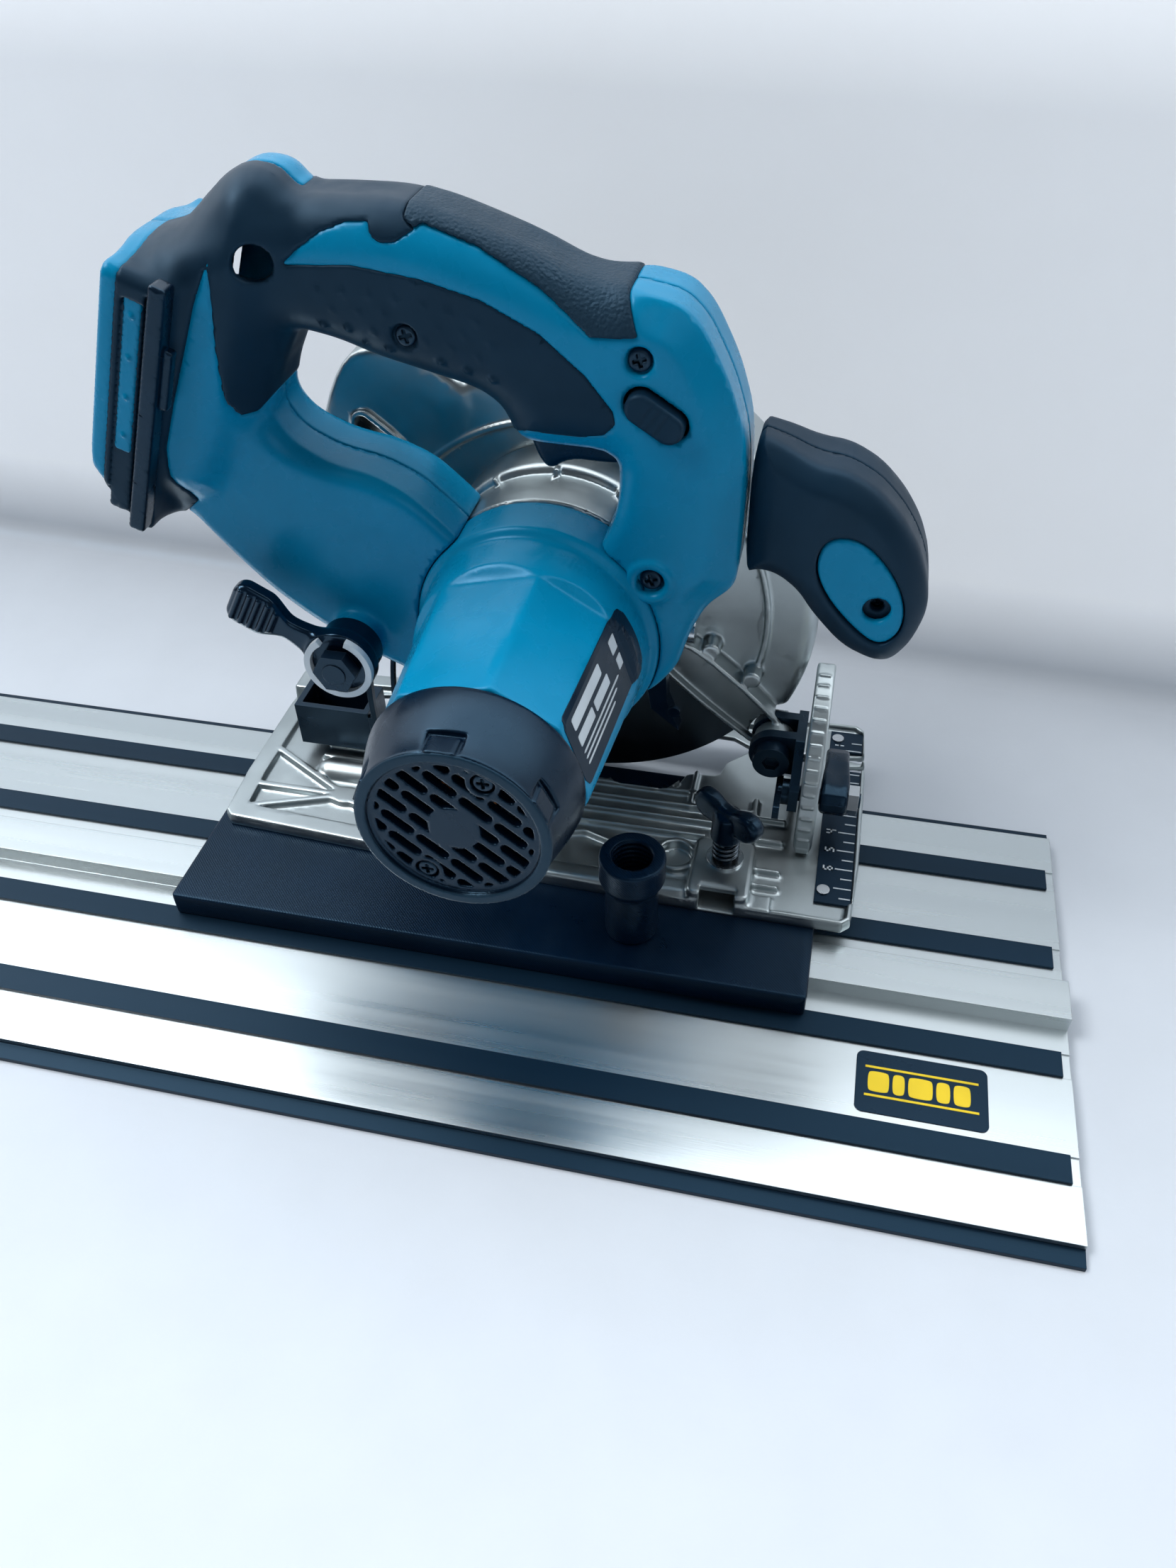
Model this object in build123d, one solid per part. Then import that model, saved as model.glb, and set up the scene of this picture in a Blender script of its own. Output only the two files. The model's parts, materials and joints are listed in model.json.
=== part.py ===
from build123d import *
import math
import os

# Circular saw on a guide rail.  Millimetres.
# +X is forward along the cut, +Y is towards the blade side, +Z is up.
# X = 0 is the middle of the saw base, Y = 0 the middle of the rail rib and Z = 0 the rail underside.

# Guide rail
RAIL_LENGTH = 500
RAIL_FRONT = 201.5
RAIL_HALF = 87.5
RAIL_TOP = 5
RAIL_SHEET = 2
RIB_HALF = 8.4
RIB_TOP = 11.5
RIB_WALL = 1.5
STRIP_WIDTH = 10
STRIP_CENTRES = (-63, -23.5, 23.5, 63)
STRIP_TOP = 6
STRIP_SEAT = 4.4
STRIP_END_GAP = 3
LEG_CENTRES = (-79, -52, -33, -12, 12, 33, 52, 79)
LEG_WIDTH = 1.6
LEG_BOTTOM = 0.6
SPLINTER_EDGE = 93
SPLINTER_INNER = 81
LABEL = (131, 174, -55, -31)

# Adapter plate between the rail and the saw base
ADAPTER_REAR = -127.5
ADAPTER_FRONT = 111.9
ADAPTER_NEAR = -21.6
ADAPTER_FAR = 84
ADAPTER_BOTTOM = STRIP_TOP + 0.05
ADAPTER_TOP = 16
CHANNEL_HALF = RIB_HALF + 0.1
CHANNEL_TOP = RIB_TOP + 0.1
KNOB_X = 46.5
KNOB_Y = -1.5
KNOB_HEIGHT = 37
KNOB_FOOT_RADIUS = 9.5
KNOB_HEAD_RADIUS = 11.8

# Saw base casting
BASE_HALF = 125.6
BASE_BOTTOM = ADAPTER_TOP
BASE_FLOOR = 18.5
BASE_RIM = 21
BASE_NEAR_FRONT = 9
BASE_NEAR_REAR = 18
BASE_FAR = 126.7
RIM_WIDTH = 8
RIB_THICKNESS = 2
WINDOW = (-94, 80, 74, 111)
FENCE_X = 76
FENCE_Y = 31
WELL_X = 57
WELL_Y = 34

# Bevel axis, along X, close to the base in the blade plane
BEVEL_Y = 99
BEVEL_Z = 22
BEVEL_PIN_RADIUS = 2.5
BEVEL_RANGE = 50
QUADRANT_RADIUS = 55
QUADRANT_SLOT_RADIUS = 45
BEVEL_BOLT_ANGLE = 22
BEVEL_BOLT_RADIUS = 3

# Depth pivot, along Y, at the front of the blade case
PIVOT_X = 88
PIVOT_Z = 49
PIVOT_RADIUS = 4
DEPTH_BOLT_X = -55
DEPTH_BOLT_Z = 112
DEPTH_UP = 2.5
DEPTH_DOWN = 30
TRAY_FRONT = -76
CLAMP_HUB_RADIUS = 12
CLAMP_NECK_RADIUS = 10.6

# Blade and drive
BLADE_RADIUS = 82.5
BLADE_Y = 99
BLADE_PLATE = 1.2
BLADE_TEETH = 24
SPINDLE_X = 6.5
SPINDLE_Z = 95
GEAR_MODULE = 0.8
GEAR_TEETH = 51
PINION_TEETH = 9
CENTRE_DISTANCE = GEAR_MODULE * (GEAR_TEETH + PINION_TEETH) / 2
MOTOR_LEAN = 3.6
MOTOR_X = SPINDLE_X + CENTRE_DISTANCE * math.sin(math.radians(MOTOR_LEAN))
MOTOR_Z = SPINDLE_Z + CENTRE_DISTANCE * math.cos(math.radians(MOTOR_LEAN))
SPINDLE_RADIUS = 6
SHAFT_RADIUS = 3
LOCK_Y = 76
LOCK_RADIUS = 2.5
BEARING_GAP = 0.04

# Motor casing, along Y
CAP_END = -66
CAP_JOINT = -42
HOUSING_END = 44.8
CAP_RADIUS = 28.3
JOINT_RADIUS = 33
COLLAR_RADIUS = 41

# Blade case and lower guard
CASE_RADIUS = 92
CASE_WALL = 3
CASE_NEAR = 83
CASE_FAR = 115
GUARD_RADIUS = 87.5
GUARD_WALL = 1.6
GUARD_NEAR = 94
GUARD_FAR = 105.6
CASE_EDGE_ANGLE = 150
GUARD_KNOB_ANGLE = 171
GUARD_KNOB_END = 121

# Handle halves, split on the plane Y = HANDLE_Y
HANDLE_Y = 45
HANDLE_HALF = 17
FRONT_GRIP_HALF = 16
MOUNT_HALF = 31
SHELL_WALL = 2.6
TRIGGER_PIN = (32, 186)

GAP = 0.1


# Plain shapes placed by their real limits

def box(x0, x1, y0, y1, z0, z1):
    size = Box(x1 - x0, y1 - y0, z1 - z0)
    return Pos((x0 + x1) / 2, (y0 + y1) / 2, (z0 + z1) / 2) * size


def x_rod(y, z, radius, x0, x1):
    return Pos((x0 + x1) / 2, y, z) * Rot(0, 90, 0) * Cylinder(radius, x1 - x0)


def y_rod(x, z, radius, y0, y1):
    return Pos(x, (y0 + y1) / 2, z) * Rot(90, 0, 0) * Cylinder(radius, y1 - y0)


def ring_y(x, z, outer, inner, y0, y1):
    return y_rod(x, z, outer, y0, y1) - y_rod(x, z, inner, y0, y1)


def z_rod(x, y, radius, z0, z1):
    return Pos(x, y, (z0 + z1) / 2) * Cylinder(radius, z1 - z0)


def outline(points, corner):
    sketch = Polygon(*points, align=None)
    if corner:
        sketch = fillet(sketch.vertices(), corner)
    return sketch


def y_plate(points, y0, y1, corner=0):
    return y_solid(outline(points, corner), y0, y1)


def y_solid(sketch, y0, y1):
    plane = Plane(origin=(0, y1, 0), x_dir=(1, 0, 0), z_dir=(0, -1, 0))
    return extrude(plane * sketch, y1 - y0, dir=(0, -1, 0))


def x_plate(points, x0, x1, corner=0):
    plane = Plane(origin=(x0, 0, 0), x_dir=(0, 1, 0), z_dir=(1, 0, 0))
    return extrude(plane * outline(points, corner), x1 - x0, dir=(1, 0, 0))


def z_plate(points, z0, z1, corner=0):
    return extrude(Plane.XY.offset(z0) * outline(points, corner), z1 - z0, dir=(0, 0, 1))


def y_cone(x, z, radius0, radius1, y0, y1):
    """A cone along Y that has radius0 at y0 and radius1 at y1."""
    return Pos(x, (y0 + y1) / 2, z) * Rot(-90, 0, 0) * Cone(radius0, radius1, y1 - y0)


def polar(x, z, radius, degrees):
    turn = math.radians(degrees)
    return (x + radius * math.cos(turn), z + radius * math.sin(turn))


def sector(x, z, radius, start, end, y0, y1, steps=6):
    """A pie slice about an axis along Y, for cutting round shapes."""
    span = end - start
    far = radius / math.cos(math.radians(span / steps / 2))
    arc = [polar(x, z, far, start + span * i / steps) for i in range(steps + 1)]
    return y_plate([(x, z)] + arc, y0, y1)


def y_slot(x, z, length, width, angle, y0, y1):
    """A round-ended slot in the XZ plane, turned by angle."""
    flat = length - width
    body = box(-flat / 2, flat / 2, y0, y1, -width / 2, width / 2)
    body += y_rod(-flat / 2, 0, width / 2, y0, y1)
    body += y_rod(flat / 2, 0, width / 2, y0, y1)
    return Pos(x, 0, z) * Rot(0, -angle, 0) * body


def hex_y(x, z, across, y0, y1):
    radius = across / math.sqrt(3)
    points = [polar(x, z, radius, 60 * i) for i in range(6)]
    return y_plate(points, y0, y1)


def hex_x(y, z, across, x0, x1):
    radius = across / math.sqrt(3)
    points = [polar(y, z, radius, 60 * i) for i in range(6)]
    return x_plate(points, x0, x1)


def coil(radius, wire, pitch, height):
    """A coil spring along Z from the origin up."""
    path = Helix(pitch, height, radius)
    start = Plane(origin=path @ 0, z_dir=path % 0)
    return sweep(start * Circle(wire), path=path)


def screw_y(x, z, head_radius, shank_radius, y0, y_head, y1, driver=1.6):
    """A pan-head cross-recess screw along Y: head from y0 to y_head, shank on to y1."""
    body = y_rod(x, z, head_radius, y0, y_head)
    body += y_rod(x, z, shank_radius, y_head, y1)
    arm = head_radius * 0.55
    half = driver / 2
    depth = y0 + (y_head - y0) * 0.7
    body -= box(x - arm, x + arm, y0, depth, z - half, z + half)
    body -= box(x - half, x + half, y0, depth, z - arm, z + arm)
    return body


# Guide rail

def rail_extrusion():
    rear = RAIL_FRONT - RAIL_LENGTH
    sheet_bottom = RAIL_TOP - RAIL_SHEET
    body = box(rear, RAIL_FRONT, -RAIL_HALF, RAIL_HALF, sheet_bottom, RAIL_TOP)
    body += box(rear, RAIL_FRONT, -RIB_HALF, RIB_HALF, RAIL_TOP, RIB_TOP)
    inner = RIB_HALF - RIB_WALL
    body -= box(rear, RAIL_FRONT, -inner, inner, sheet_bottom, RIB_TOP - RIB_WALL)
    for centre in LEG_CENTRES:
        half = LEG_WIDTH / 2
        body += box(rear, RAIL_FRONT, centre - half, centre + half, LEG_BOTTOM, sheet_bottom)
    for centre in STRIP_CENTRES:
        half = STRIP_WIDTH / 2
        body -= box(rear, RAIL_FRONT, centre - half, centre + half, STRIP_SEAT, RAIL_TOP)
    return body


def grip_strips():
    rear = RAIL_FRONT - RAIL_LENGTH + STRIP_END_GAP
    front = RAIL_FRONT - STRIP_END_GAP
    half = STRIP_WIDTH / 2
    return [box(rear, front, y - half, y + half, STRIP_SEAT, STRIP_TOP) for y in STRIP_CENTRES]


def splinter_guards():
    rear = RAIL_FRONT - RAIL_LENGTH
    top = RAIL_TOP - RAIL_SHEET
    profile = [(SPLINTER_INNER, 0), (SPLINTER_EDGE, 0), (SPLINTER_EDGE, 1.8), (RAIL_HALF, 2.5),
               (RAIL_HALF, top), (SPLINTER_INNER, top)]
    far = x_plate(profile, rear, RAIL_FRONT)
    near = x_plate([(-y, z) for y, z in profile], rear, RAIL_FRONT)
    return [near, far]


def anti_slip_pads():
    rear = RAIL_FRONT - RAIL_LENGTH
    top = RAIL_TOP - RAIL_SHEET
    half = 8
    return [box(rear, RAIL_FRONT, y - half, y + half, 0, top) for y in (-42.5, 42.5)]


def rail_label():
    x0, x1, y0, y1 = LABEL
    corners = [(x0, y0), (x1, y0), (x1, y1), (x0, y1)]
    return z_plate(corners, RAIL_TOP, RAIL_TOP + 0.3, 2.5)


# Adapter plate and its brake knob

def adapter_plate():
    body = box(ADAPTER_REAR, ADAPTER_FRONT, ADAPTER_NEAR, ADAPTER_FAR, ADAPTER_BOTTOM, ADAPTER_TOP)
    body = chamfer(body.edges().filter_by(Axis.Z), 1.2)
    body -= box(ADAPTER_REAR, ADAPTER_FRONT, -CHANNEL_HALF, CHANNEL_HALF, ADAPTER_BOTTOM, CHANNEL_TOP)
    body -= z_rod(KNOB_X, KNOB_Y, 3.05, CHANNEL_TOP, ADAPTER_TOP)
    return body


def adapter_knob():
    foot = ADAPTER_TOP + GAP
    top = foot + KNOB_HEIGHT
    flare = top - 14
    body = z_rod(KNOB_X, KNOB_Y, KNOB_FOOT_RADIUS, foot, flare)
    cone = Cone(KNOB_FOOT_RADIUS, KNOB_HEAD_RADIUS, 4)
    body += Pos(KNOB_X, KNOB_Y, flare + 2) * cone
    body += z_rod(KNOB_X, KNOB_Y, KNOB_HEAD_RADIUS, flare + 4, top)
    body -= z_rod(KNOB_X, KNOB_Y, 7, top - 16, top)
    body -= z_rod(KNOB_X, KNOB_Y, 3, foot, foot + 12)
    for i in range(12):
        angle = math.radians(30 * i)
        x = KNOB_X + (KNOB_HEAD_RADIUS + 0.7) * math.cos(angle)
        y = KNOB_Y + (KNOB_HEAD_RADIUS + 0.7) * math.sin(angle)
        body -= z_rod(x, y, 1.3, flare + 5, top)
    screw = z_rod(KNOB_X, KNOB_Y, 3, RIB_TOP + 0.05, ADAPTER_TOP + GAP + 12)
    return [body, screw]


# Saw base and what is fixed to it

def base_outline(inset):
    rear = -BASE_HALF + inset
    front = BASE_HALF - inset
    far = BASE_FAR - inset
    return [(rear, BASE_NEAR_REAR + inset), (front, BASE_NEAR_FRONT + inset), (front, far), (rear, far - 8)]


def rib(x0, y0, x1, y1, thickness, z0, z1):
    """A straight rib between two points of the base."""
    length = math.hypot(x1 - x0, y1 - y0)
    angle = math.degrees(math.atan2(y1 - y0, x1 - x0))
    body = box(0, length, -thickness / 2, thickness / 2, z0, z1)
    return Pos(x0, y0, 0) * Rot(0, 0, angle) * body


def base_ribs():
    centre = (-80, 40)
    ribs = [rib(*centre, x, y, 2.6, BASE_FLOOR, BASE_RIM) for x, y in
            ((-118, 62), (-118, 40), (-118, 24), (-52, 20), (-46, 40), (-50, 62))]
    ribs.append(z_rod(*centre, 5, BASE_FLOOR, BASE_RIM))
    for y in (62, 70.5):
        ribs.append(box(-96, 84, y - 1, y + 1, BASE_FLOOR, BASE_RIM))
    for y in (46, 54):
        ribs.append(box(-40, 84, y - 1, y + 1, BASE_FLOOR, BASE_RIM - 0.5))
    ribs.append(rib(-34, 22, 20, 40, 2.2, BASE_FLOOR, BASE_RIM))
    ribs.append(rib(20, 40, 48, 28, 2.2, BASE_FLOOR, BASE_RIM))
    ribs.append(rib(-34, 40, 20, 18, 2.2, BASE_FLOOR, BASE_RIM))
    ribs.append(box(83, 85, 24, 72, BASE_FLOOR, BASE_RIM))
    for y in (24, 36, 48):
        ribs.append(box(85, 94, y - 0.9, y + 0.9, BASE_FLOOR, BASE_RIM))
    return ribs


def base_bump():
    """Half-round stiffener that runs forward from the rear bracket."""
    body = x_rod(56, BASE_FLOOR - 1, 5, -92, -30)
    body += Pos(-92, 56, BASE_FLOOR - 1) * Sphere(5)
    return body & box(-100, -25, 50, 62, BASE_FLOOR, 30)


def base_plate():
    body = z_plate(base_outline(0), BASE_BOTTOM, BASE_FLOOR, 5)
    rim = z_plate(base_outline(0), BASE_FLOOR, BASE_RIM, 5)
    rim -= z_plate(base_outline(RIM_WIDTH), BASE_FLOOR, BASE_RIM, 4)
    rim -= box(94, BASE_HALF, -10, BASE_FAR + 10, BASE_FLOOR, BASE_RIM)
    body += rim
    for piece in base_ribs():
        body += piece
    body += base_bump()
    body += z_rod(WELL_X, WELL_Y, 8.5, BASE_FLOOR, BASE_RIM + 2)
    fence_boss = [(FENCE_X - 12, 11), (FENCE_X + 11, 11), (FENCE_X + 11, 40), (FENCE_X - 12, 42)]
    body += z_plate(fence_boss, BASE_FLOOR, 25, 3)
    body += box(110, 126, BASE_NEAR_FRONT + 4, 20, BASE_FLOOR, 20)
    body += box(WINDOW[0] - 6, WINDOW[1] + 8, WINDOW[2] - 3, WINDOW[2], BASE_FLOOR, BASE_RIM)
    lug = [(BEVEL_Y - 8, BASE_FLOOR), (BEVEL_Y + 8, BASE_FLOOR), (BEVEL_Y + 6, 30), (BEVEL_Y - 6, 30)]
    body += x_plate(lug, -123, -116, 2)
    body -= z_rod(WELL_X, WELL_Y, 6.5, 17, BASE_RIM + 2)
    body -= box(WINDOW[0], WINDOW[1], WINDOW[2], WINDOW[3], BASE_BOTTOM, 30)
    body -= box(92, 101.3, BEVEL_Y - 9, BEVEL_Y + 8, BASE_BOTTOM, 30)
    body -= box(-115.8, WINDOW[0] + 1, BEVEL_Y - 9, BEVEL_Y + 9, BASE_BOTTOM, 30)
    body -= box(FENCE_X - 7, FENCE_X + 6, 0, 60, 17.2, 22)
    body -= z_rod(FENCE_X, FENCE_Y, 3.05, 22, 25)
    body -= x_rod(BEVEL_Y, BEVEL_Z, BEVEL_PIN_RADIUS, -123, -116)
    for y in (BEVEL_Y, BEVEL_Y + 6):
        notch = [(BASE_HALF + 1, y - 3), (BASE_HALF + 1, y + 3), (119, y + 1), (119, y - 1)]
        body -= z_plate(notch, BASE_BOTTOM, 30)
    trim = z_plate(base_outline(0), BASE_BOTTOM, 40, 5)
    return body & trim


def scale_plate():
    body = box(110.5, 124, 21, 121, BASE_FLOOR, BASE_FLOOR + 1)
    for y in (BEVEL_Y, BEVEL_Y + 6):
        body -= box(115, 125, y - 3, y + 3, BASE_FLOOR, BASE_FLOOR + 1)
    for y in (27, 116):
        body -= z_rod(113.5, y, 1.5, BASE_FLOOR, BASE_FLOOR + 1)
    return body


def scale_rivets():
    rivets = []
    for y in (27, 116):
        stem = z_rod(113.5, y, 1.5, BASE_FLOOR, BASE_FLOOR + 1)
        head = z_rod(113.5, y, 2.4, BASE_FLOOR + 1, BASE_FLOOR + 1.8)
        rivets.append(stem + head)
    return rivets


def fence_spring():
    wire = 0.7
    return Pos(FENCE_X, FENCE_Y, 26 + wire + 0.1) * coil(4.4, wire, 2.3, 8.6)


def fence_screw():
    """Wing screw that clamps the rip fence bar."""
    foot = 36.5
    body = z_rod(FENCE_X, FENCE_Y, 2.98, 22.1, foot)
    body += z_rod(FENCE_X, FENCE_Y, 6.2, foot, foot + 13)
    for side in (-1, 1):
        wing = z_plate([(0, -2.6), (13, -2.6), (13, 2.6), (0, 2.6)], foot + 4, foot + 16, 0)
        wing = wing & y_rod(7, foot + 10, 8.2, -3, 3)
        body += Pos(FENCE_X, FENCE_Y, 0) * Rot(0, 0, -35 + (180 if side < 0 else 0)) * wing
    return body


def arc_band(y, z, inner, outer, start, end, x0, x1):
    """Part of a ring about an axis along X; angles run from -Y up towards +Z."""
    body = x_rod(y, z, outer, x0, x1) - x_rod(y, z, inner, x0, x1)
    steps = 6
    far = outer * 1.1
    slices = [start + (end - start) * i / steps for i in range(steps + 1)]
    arc = [(y - far * math.cos(math.radians(a)), z + far * math.sin(math.radians(a))) for a in slices]
    return body & x_plate([(y, z)] + arc, x0, x1)


def bevel_quadrant():
    rim = arc_band(BEVEL_Y, BEVEL_Z, 50.5, QUADRANT_RADIUS, 0, 82, 100.3, 107.5)
    web = arc_band(BEVEL_Y, BEVEL_Z, 6, 51, 0, 82, 102.4, 105.4)
    body = rim + web
    body += x_rod(BEVEL_Y, BEVEL_Z, 7.5, 101.5, 106.5)
    body += box(101.5, 106.5, 44, 116, BASE_FLOOR, BEVEL_Z)
    slot_half = BEVEL_BOLT_RADIUS + 0.3
    near = QUADRANT_SLOT_RADIUS - slot_half
    far = QUADRANT_SLOT_RADIUS + slot_half
    start = BEVEL_BOLT_ANGLE
    end = BEVEL_BOLT_ANGLE + BEVEL_RANGE
    body -= arc_band(BEVEL_Y, BEVEL_Z, near, far, start, end, 100, 108)
    for angle in (start, end):
        turn = math.radians(angle)
        y = BEVEL_Y - QUADRANT_SLOT_RADIUS * math.cos(turn)
        z = BEVEL_Z + QUADRANT_SLOT_RADIUS * math.sin(turn)
        body -= x_rod(y, z, slot_half, 100, 108)
    body -= x_rod(BEVEL_Y, BEVEL_Z, BEVEL_PIN_RADIUS, 100, 108)
    for angle in range(5, 80, 5):
        turn = math.radians(angle)
        y = BEVEL_Y - QUADRANT_RADIUS * math.cos(turn)
        z = BEVEL_Z + QUADRANT_RADIUS * math.sin(turn)
        body -= x_rod(y, z, 0.45, 100.3, 107.5)
    return body & box(99, 109, 0, 130, BASE_FLOOR + 1.05, 100)


def base_fasteners():
    """Scale rivets, quadrant rivets, the two bevel pins and the fence washer."""
    front_pin = x_rod(BEVEL_Y, BEVEL_Z, BEVEL_PIN_RADIUS, 94.5, 108)
    rear_pin = x_rod(BEVEL_Y, BEVEL_Z, BEVEL_PIN_RADIUS, -123, -99.5)
    washer = z_rod(FENCE_X, FENCE_Y, 7, 25, 26) - z_rod(FENCE_X, FENCE_Y, 3.2, 25, 26)
    quadrant_rivets = [z_rod(104, y, 2, BASE_FLOOR, BASE_FLOOR + 1.05) for y in (60, 78)]
    return scale_rivets() + quadrant_rivets + [front_pin, rear_pin, washer]


# Parts that tilt with the bevel

def bevel_bolt_place():
    turn = math.radians(BEVEL_BOLT_ANGLE)
    y = BEVEL_Y - QUADRANT_SLOT_RADIUS * math.cos(turn)
    z = BEVEL_Z + QUADRANT_SLOT_RADIUS * math.sin(turn)
    return y, z


def front_bracket():
    bolt_y, bolt_z = bevel_bolt_place()
    foot = [(93, 21), (96, 17.5), (101, 17.5), (104, 21), (103, 28)]
    head = [(84, 58), (65, 58), (50, 46), (49.5, 36), (55, 31)]
    body = x_plate(foot + head, 96.2, 99.8, 1)
    for y0, y1 in ((66, 70), (77.6, 81.6)):
        ear = y_rod(PIVOT_X, PIVOT_Z, 9, y0, y1)
        ear += box(PIVOT_X, 97, y0, y1, PIVOT_Z - 9, PIVOT_Z + 9)
        body += ear
    body -= y_rod(PIVOT_X, PIVOT_Z, PIVOT_RADIUS, 60, 90)
    body -= x_rod(BEVEL_Y, BEVEL_Z, BEVEL_PIN_RADIUS + 0.05, 90, 105)
    body -= x_rod(bolt_y, bolt_z, BEVEL_BOLT_RADIUS, 90, 105)
    return body


def depth_pivot_bolt():
    body = y_rod(PIVOT_X, PIVOT_Z, PIVOT_RADIUS, 64, 85.5)
    body += y_rod(PIVOT_X, PIVOT_Z, 7, 60.5, 66)
    return body - hex_y(PIVOT_X, PIVOT_Z, 6, 60, 63)


def bracket_nuts():
    """Nuts of the depth pivot bolt and of the bevel bolt."""
    pivot_nut = hex_y(PIVOT_X, PIVOT_Z, 13, 81.6, 85.6) - y_rod(PIVOT_X, PIVOT_Z, PIVOT_RADIUS, 81, 86)
    y, z = bevel_bolt_place()
    bevel_nut = hex_x(y, z, 10, 118.2, 122.2) - x_rod(y, z, BEVEL_BOLT_RADIUS, 118, 124)
    return [pivot_nut, bevel_nut]


def bevel_bolt():
    y, z = bevel_bolt_place()
    body = x_rod(y, z, BEVEL_BOLT_RADIUS, 92, 123)
    body += x_rod(y, z, 5, 93.5, 96.2)
    wing = [(y - 13, z - 4), (y + 8, z - 4), (y + 8, z + 2), (y - 13, z + 2)]
    return body + x_plate(wing, 91, 93.5, 2)


def bevel_lever():
    y, z = bevel_bolt_place()
    paddle = [(y - 8, z - 7), (y + 26, z - 6), (y + 28, z + 5), (y - 6, z + 8)]
    body = x_plate(paddle, 108.3, 118, 3)
    return body - x_rod(y, z, BEVEL_BOLT_RADIUS + 0.05, 107, 119)


def rear_bracket():
    """Open tray on the rear bevel pin that carries the depth guide."""
    tray = box(-108, TRAY_FRONT, 64.2, 82.5, 24, 44)
    tray -= box(-105.5, TRAY_FRONT - 2.5, 66.7, 80, 26.5, 44)
    hub = x_rod(BEVEL_Y, BEVEL_Z, 5.8, -115.5, -100.5)
    neck = x_plate([(82, 24), (BEVEL_Y, 18), (BEVEL_Y + 4, 24), (98, 29), (86, 38), (82, 38)], -108, -102)
    body = tray + hub + neck
    body -= x_rod(BEVEL_Y, BEVEL_Z, BEVEL_PIN_RADIUS + 0.05, -116, -99)
    return body


def depth_guide():
    """Arc plate with a slot centred on the depth pivot."""
    reach = math.hypot(DEPTH_BOLT_X - PIVOT_X, DEPTH_BOLT_Z - PIVOT_Z)
    rest = math.degrees(math.atan2(DEPTH_BOLT_Z - PIVOT_Z, DEPTH_BOLT_X - PIVOT_X))
    y0, y1 = 64.2, 66.7
    top = rest - 4.8
    bottom = rest + DEPTH_DOWN + 3.6
    band = ring_y(PIVOT_X, PIVOT_Z, reach + 6.4, reach - 5.6, y0, y1)
    band &= sector(PIVOT_X, PIVOT_Z, reach + 7, top, bottom, y0, y1)
    slot_half = PIVOT_RADIUS + 0.15
    slot = ring_y(PIVOT_X, PIVOT_Z, reach + slot_half, reach - slot_half, y0, y1)
    slot &= sector(PIVOT_X, PIVOT_Z, reach + 7, rest - DEPTH_UP, rest + DEPTH_DOWN, y0, y1)
    for angle in (rest - DEPTH_UP, rest + DEPTH_DOWN):
        x, z = polar(PIVOT_X, PIVOT_Z, reach, angle)
        slot += y_rod(x, z, slot_half, y0, y1)
    foot = box(TRAY_FRONT, -66, y0, y1, 26, 42) - y_rod(PIVOT_X, PIVOT_Z, reach - 5.6, y0, y1)
    return band + foot - slot


# Blade case and drive

def case_cover_zone(y0, y1, radius):
    """The half of the blade circle on the upper side of the slanting case edge."""
    return sector(SPINDLE_X, SPINDLE_Z, radius, CASE_EDGE_ANGLE - 180, CASE_EDGE_ANGLE, y0, y1)


LOBE = [(-84, 140), (-87, 150), (-74, 183), (-60, 190), (-40, 186), (-20, 170), (-60, 128)]


def blade_case():
    x, z = SPINDLE_X, SPINDLE_Z
    outer = y_rod(x, z, CASE_RADIUS, CASE_NEAR, CASE_FAR)
    outer = outer & case_cover_zone(CASE_NEAR, CASE_FAR, CASE_RADIUS + 4)
    outer = fillet(outer.edges().filter_by(GeomType.CIRCLE), 2.5)
    outer += y_plate(LOBE, CASE_NEAR, CASE_FAR - 4, 5)
    cavity = y_rod(x, z, CASE_RADIUS - CASE_WALL, CASE_NEAR + CASE_WALL, CASE_FAR - CASE_WALL)
    outer -= cavity
    lobe_inner = [(-80, 143), (-82.5, 150), (-71, 179), (-60, 185), (-44, 182), (-24, 168), (-60, 134)]
    outer -= y_plate(lobe_inner, CASE_NEAR + CASE_WALL, CASE_FAR - 7, 3)
    outer -= y_rod(x, z, 60, CASE_FAR - CASE_WALL - 1, CASE_FAR + 1)
    outer -= box(-101, -60, CASE_NEAR + CASE_WALL, CASE_FAR - 7, 120, 140)
    lug = [(94, 52), (91, 42), (84, 41.5), (46, 72), (34, 88), (50, 92), (80, 66)]
    body = outer + y_plate(lug, 70.2, CASE_NEAR + CASE_WALL, 2)
    body -= y_rod(PIVOT_X, PIVOT_Z, 10.5, 77.3, CASE_FAR)
    body -= box(34, 70, 70, CASE_NEAR, 76, 100)
    body += y_rod(x, z, 16, CASE_NEAR + CASE_WALL - 1, 93.4)
    body -= y_rod(x, z, 13, CASE_NEAR, 93.4)
    body -= y_rod(PIVOT_X, PIVOT_Z, PIVOT_RADIUS + 0.05, 60, 90)
    for stud_x, stud_z in ((61, 86), (77, 75)):
        body += y_rod(stud_x, stud_z, 3.6, 77.5, CASE_NEAR + 0.5)
    return body - y_slot(-61, 158, 20, 5, -38, CASE_NEAR - 1, CASE_NEAR + CASE_WALL)


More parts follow.
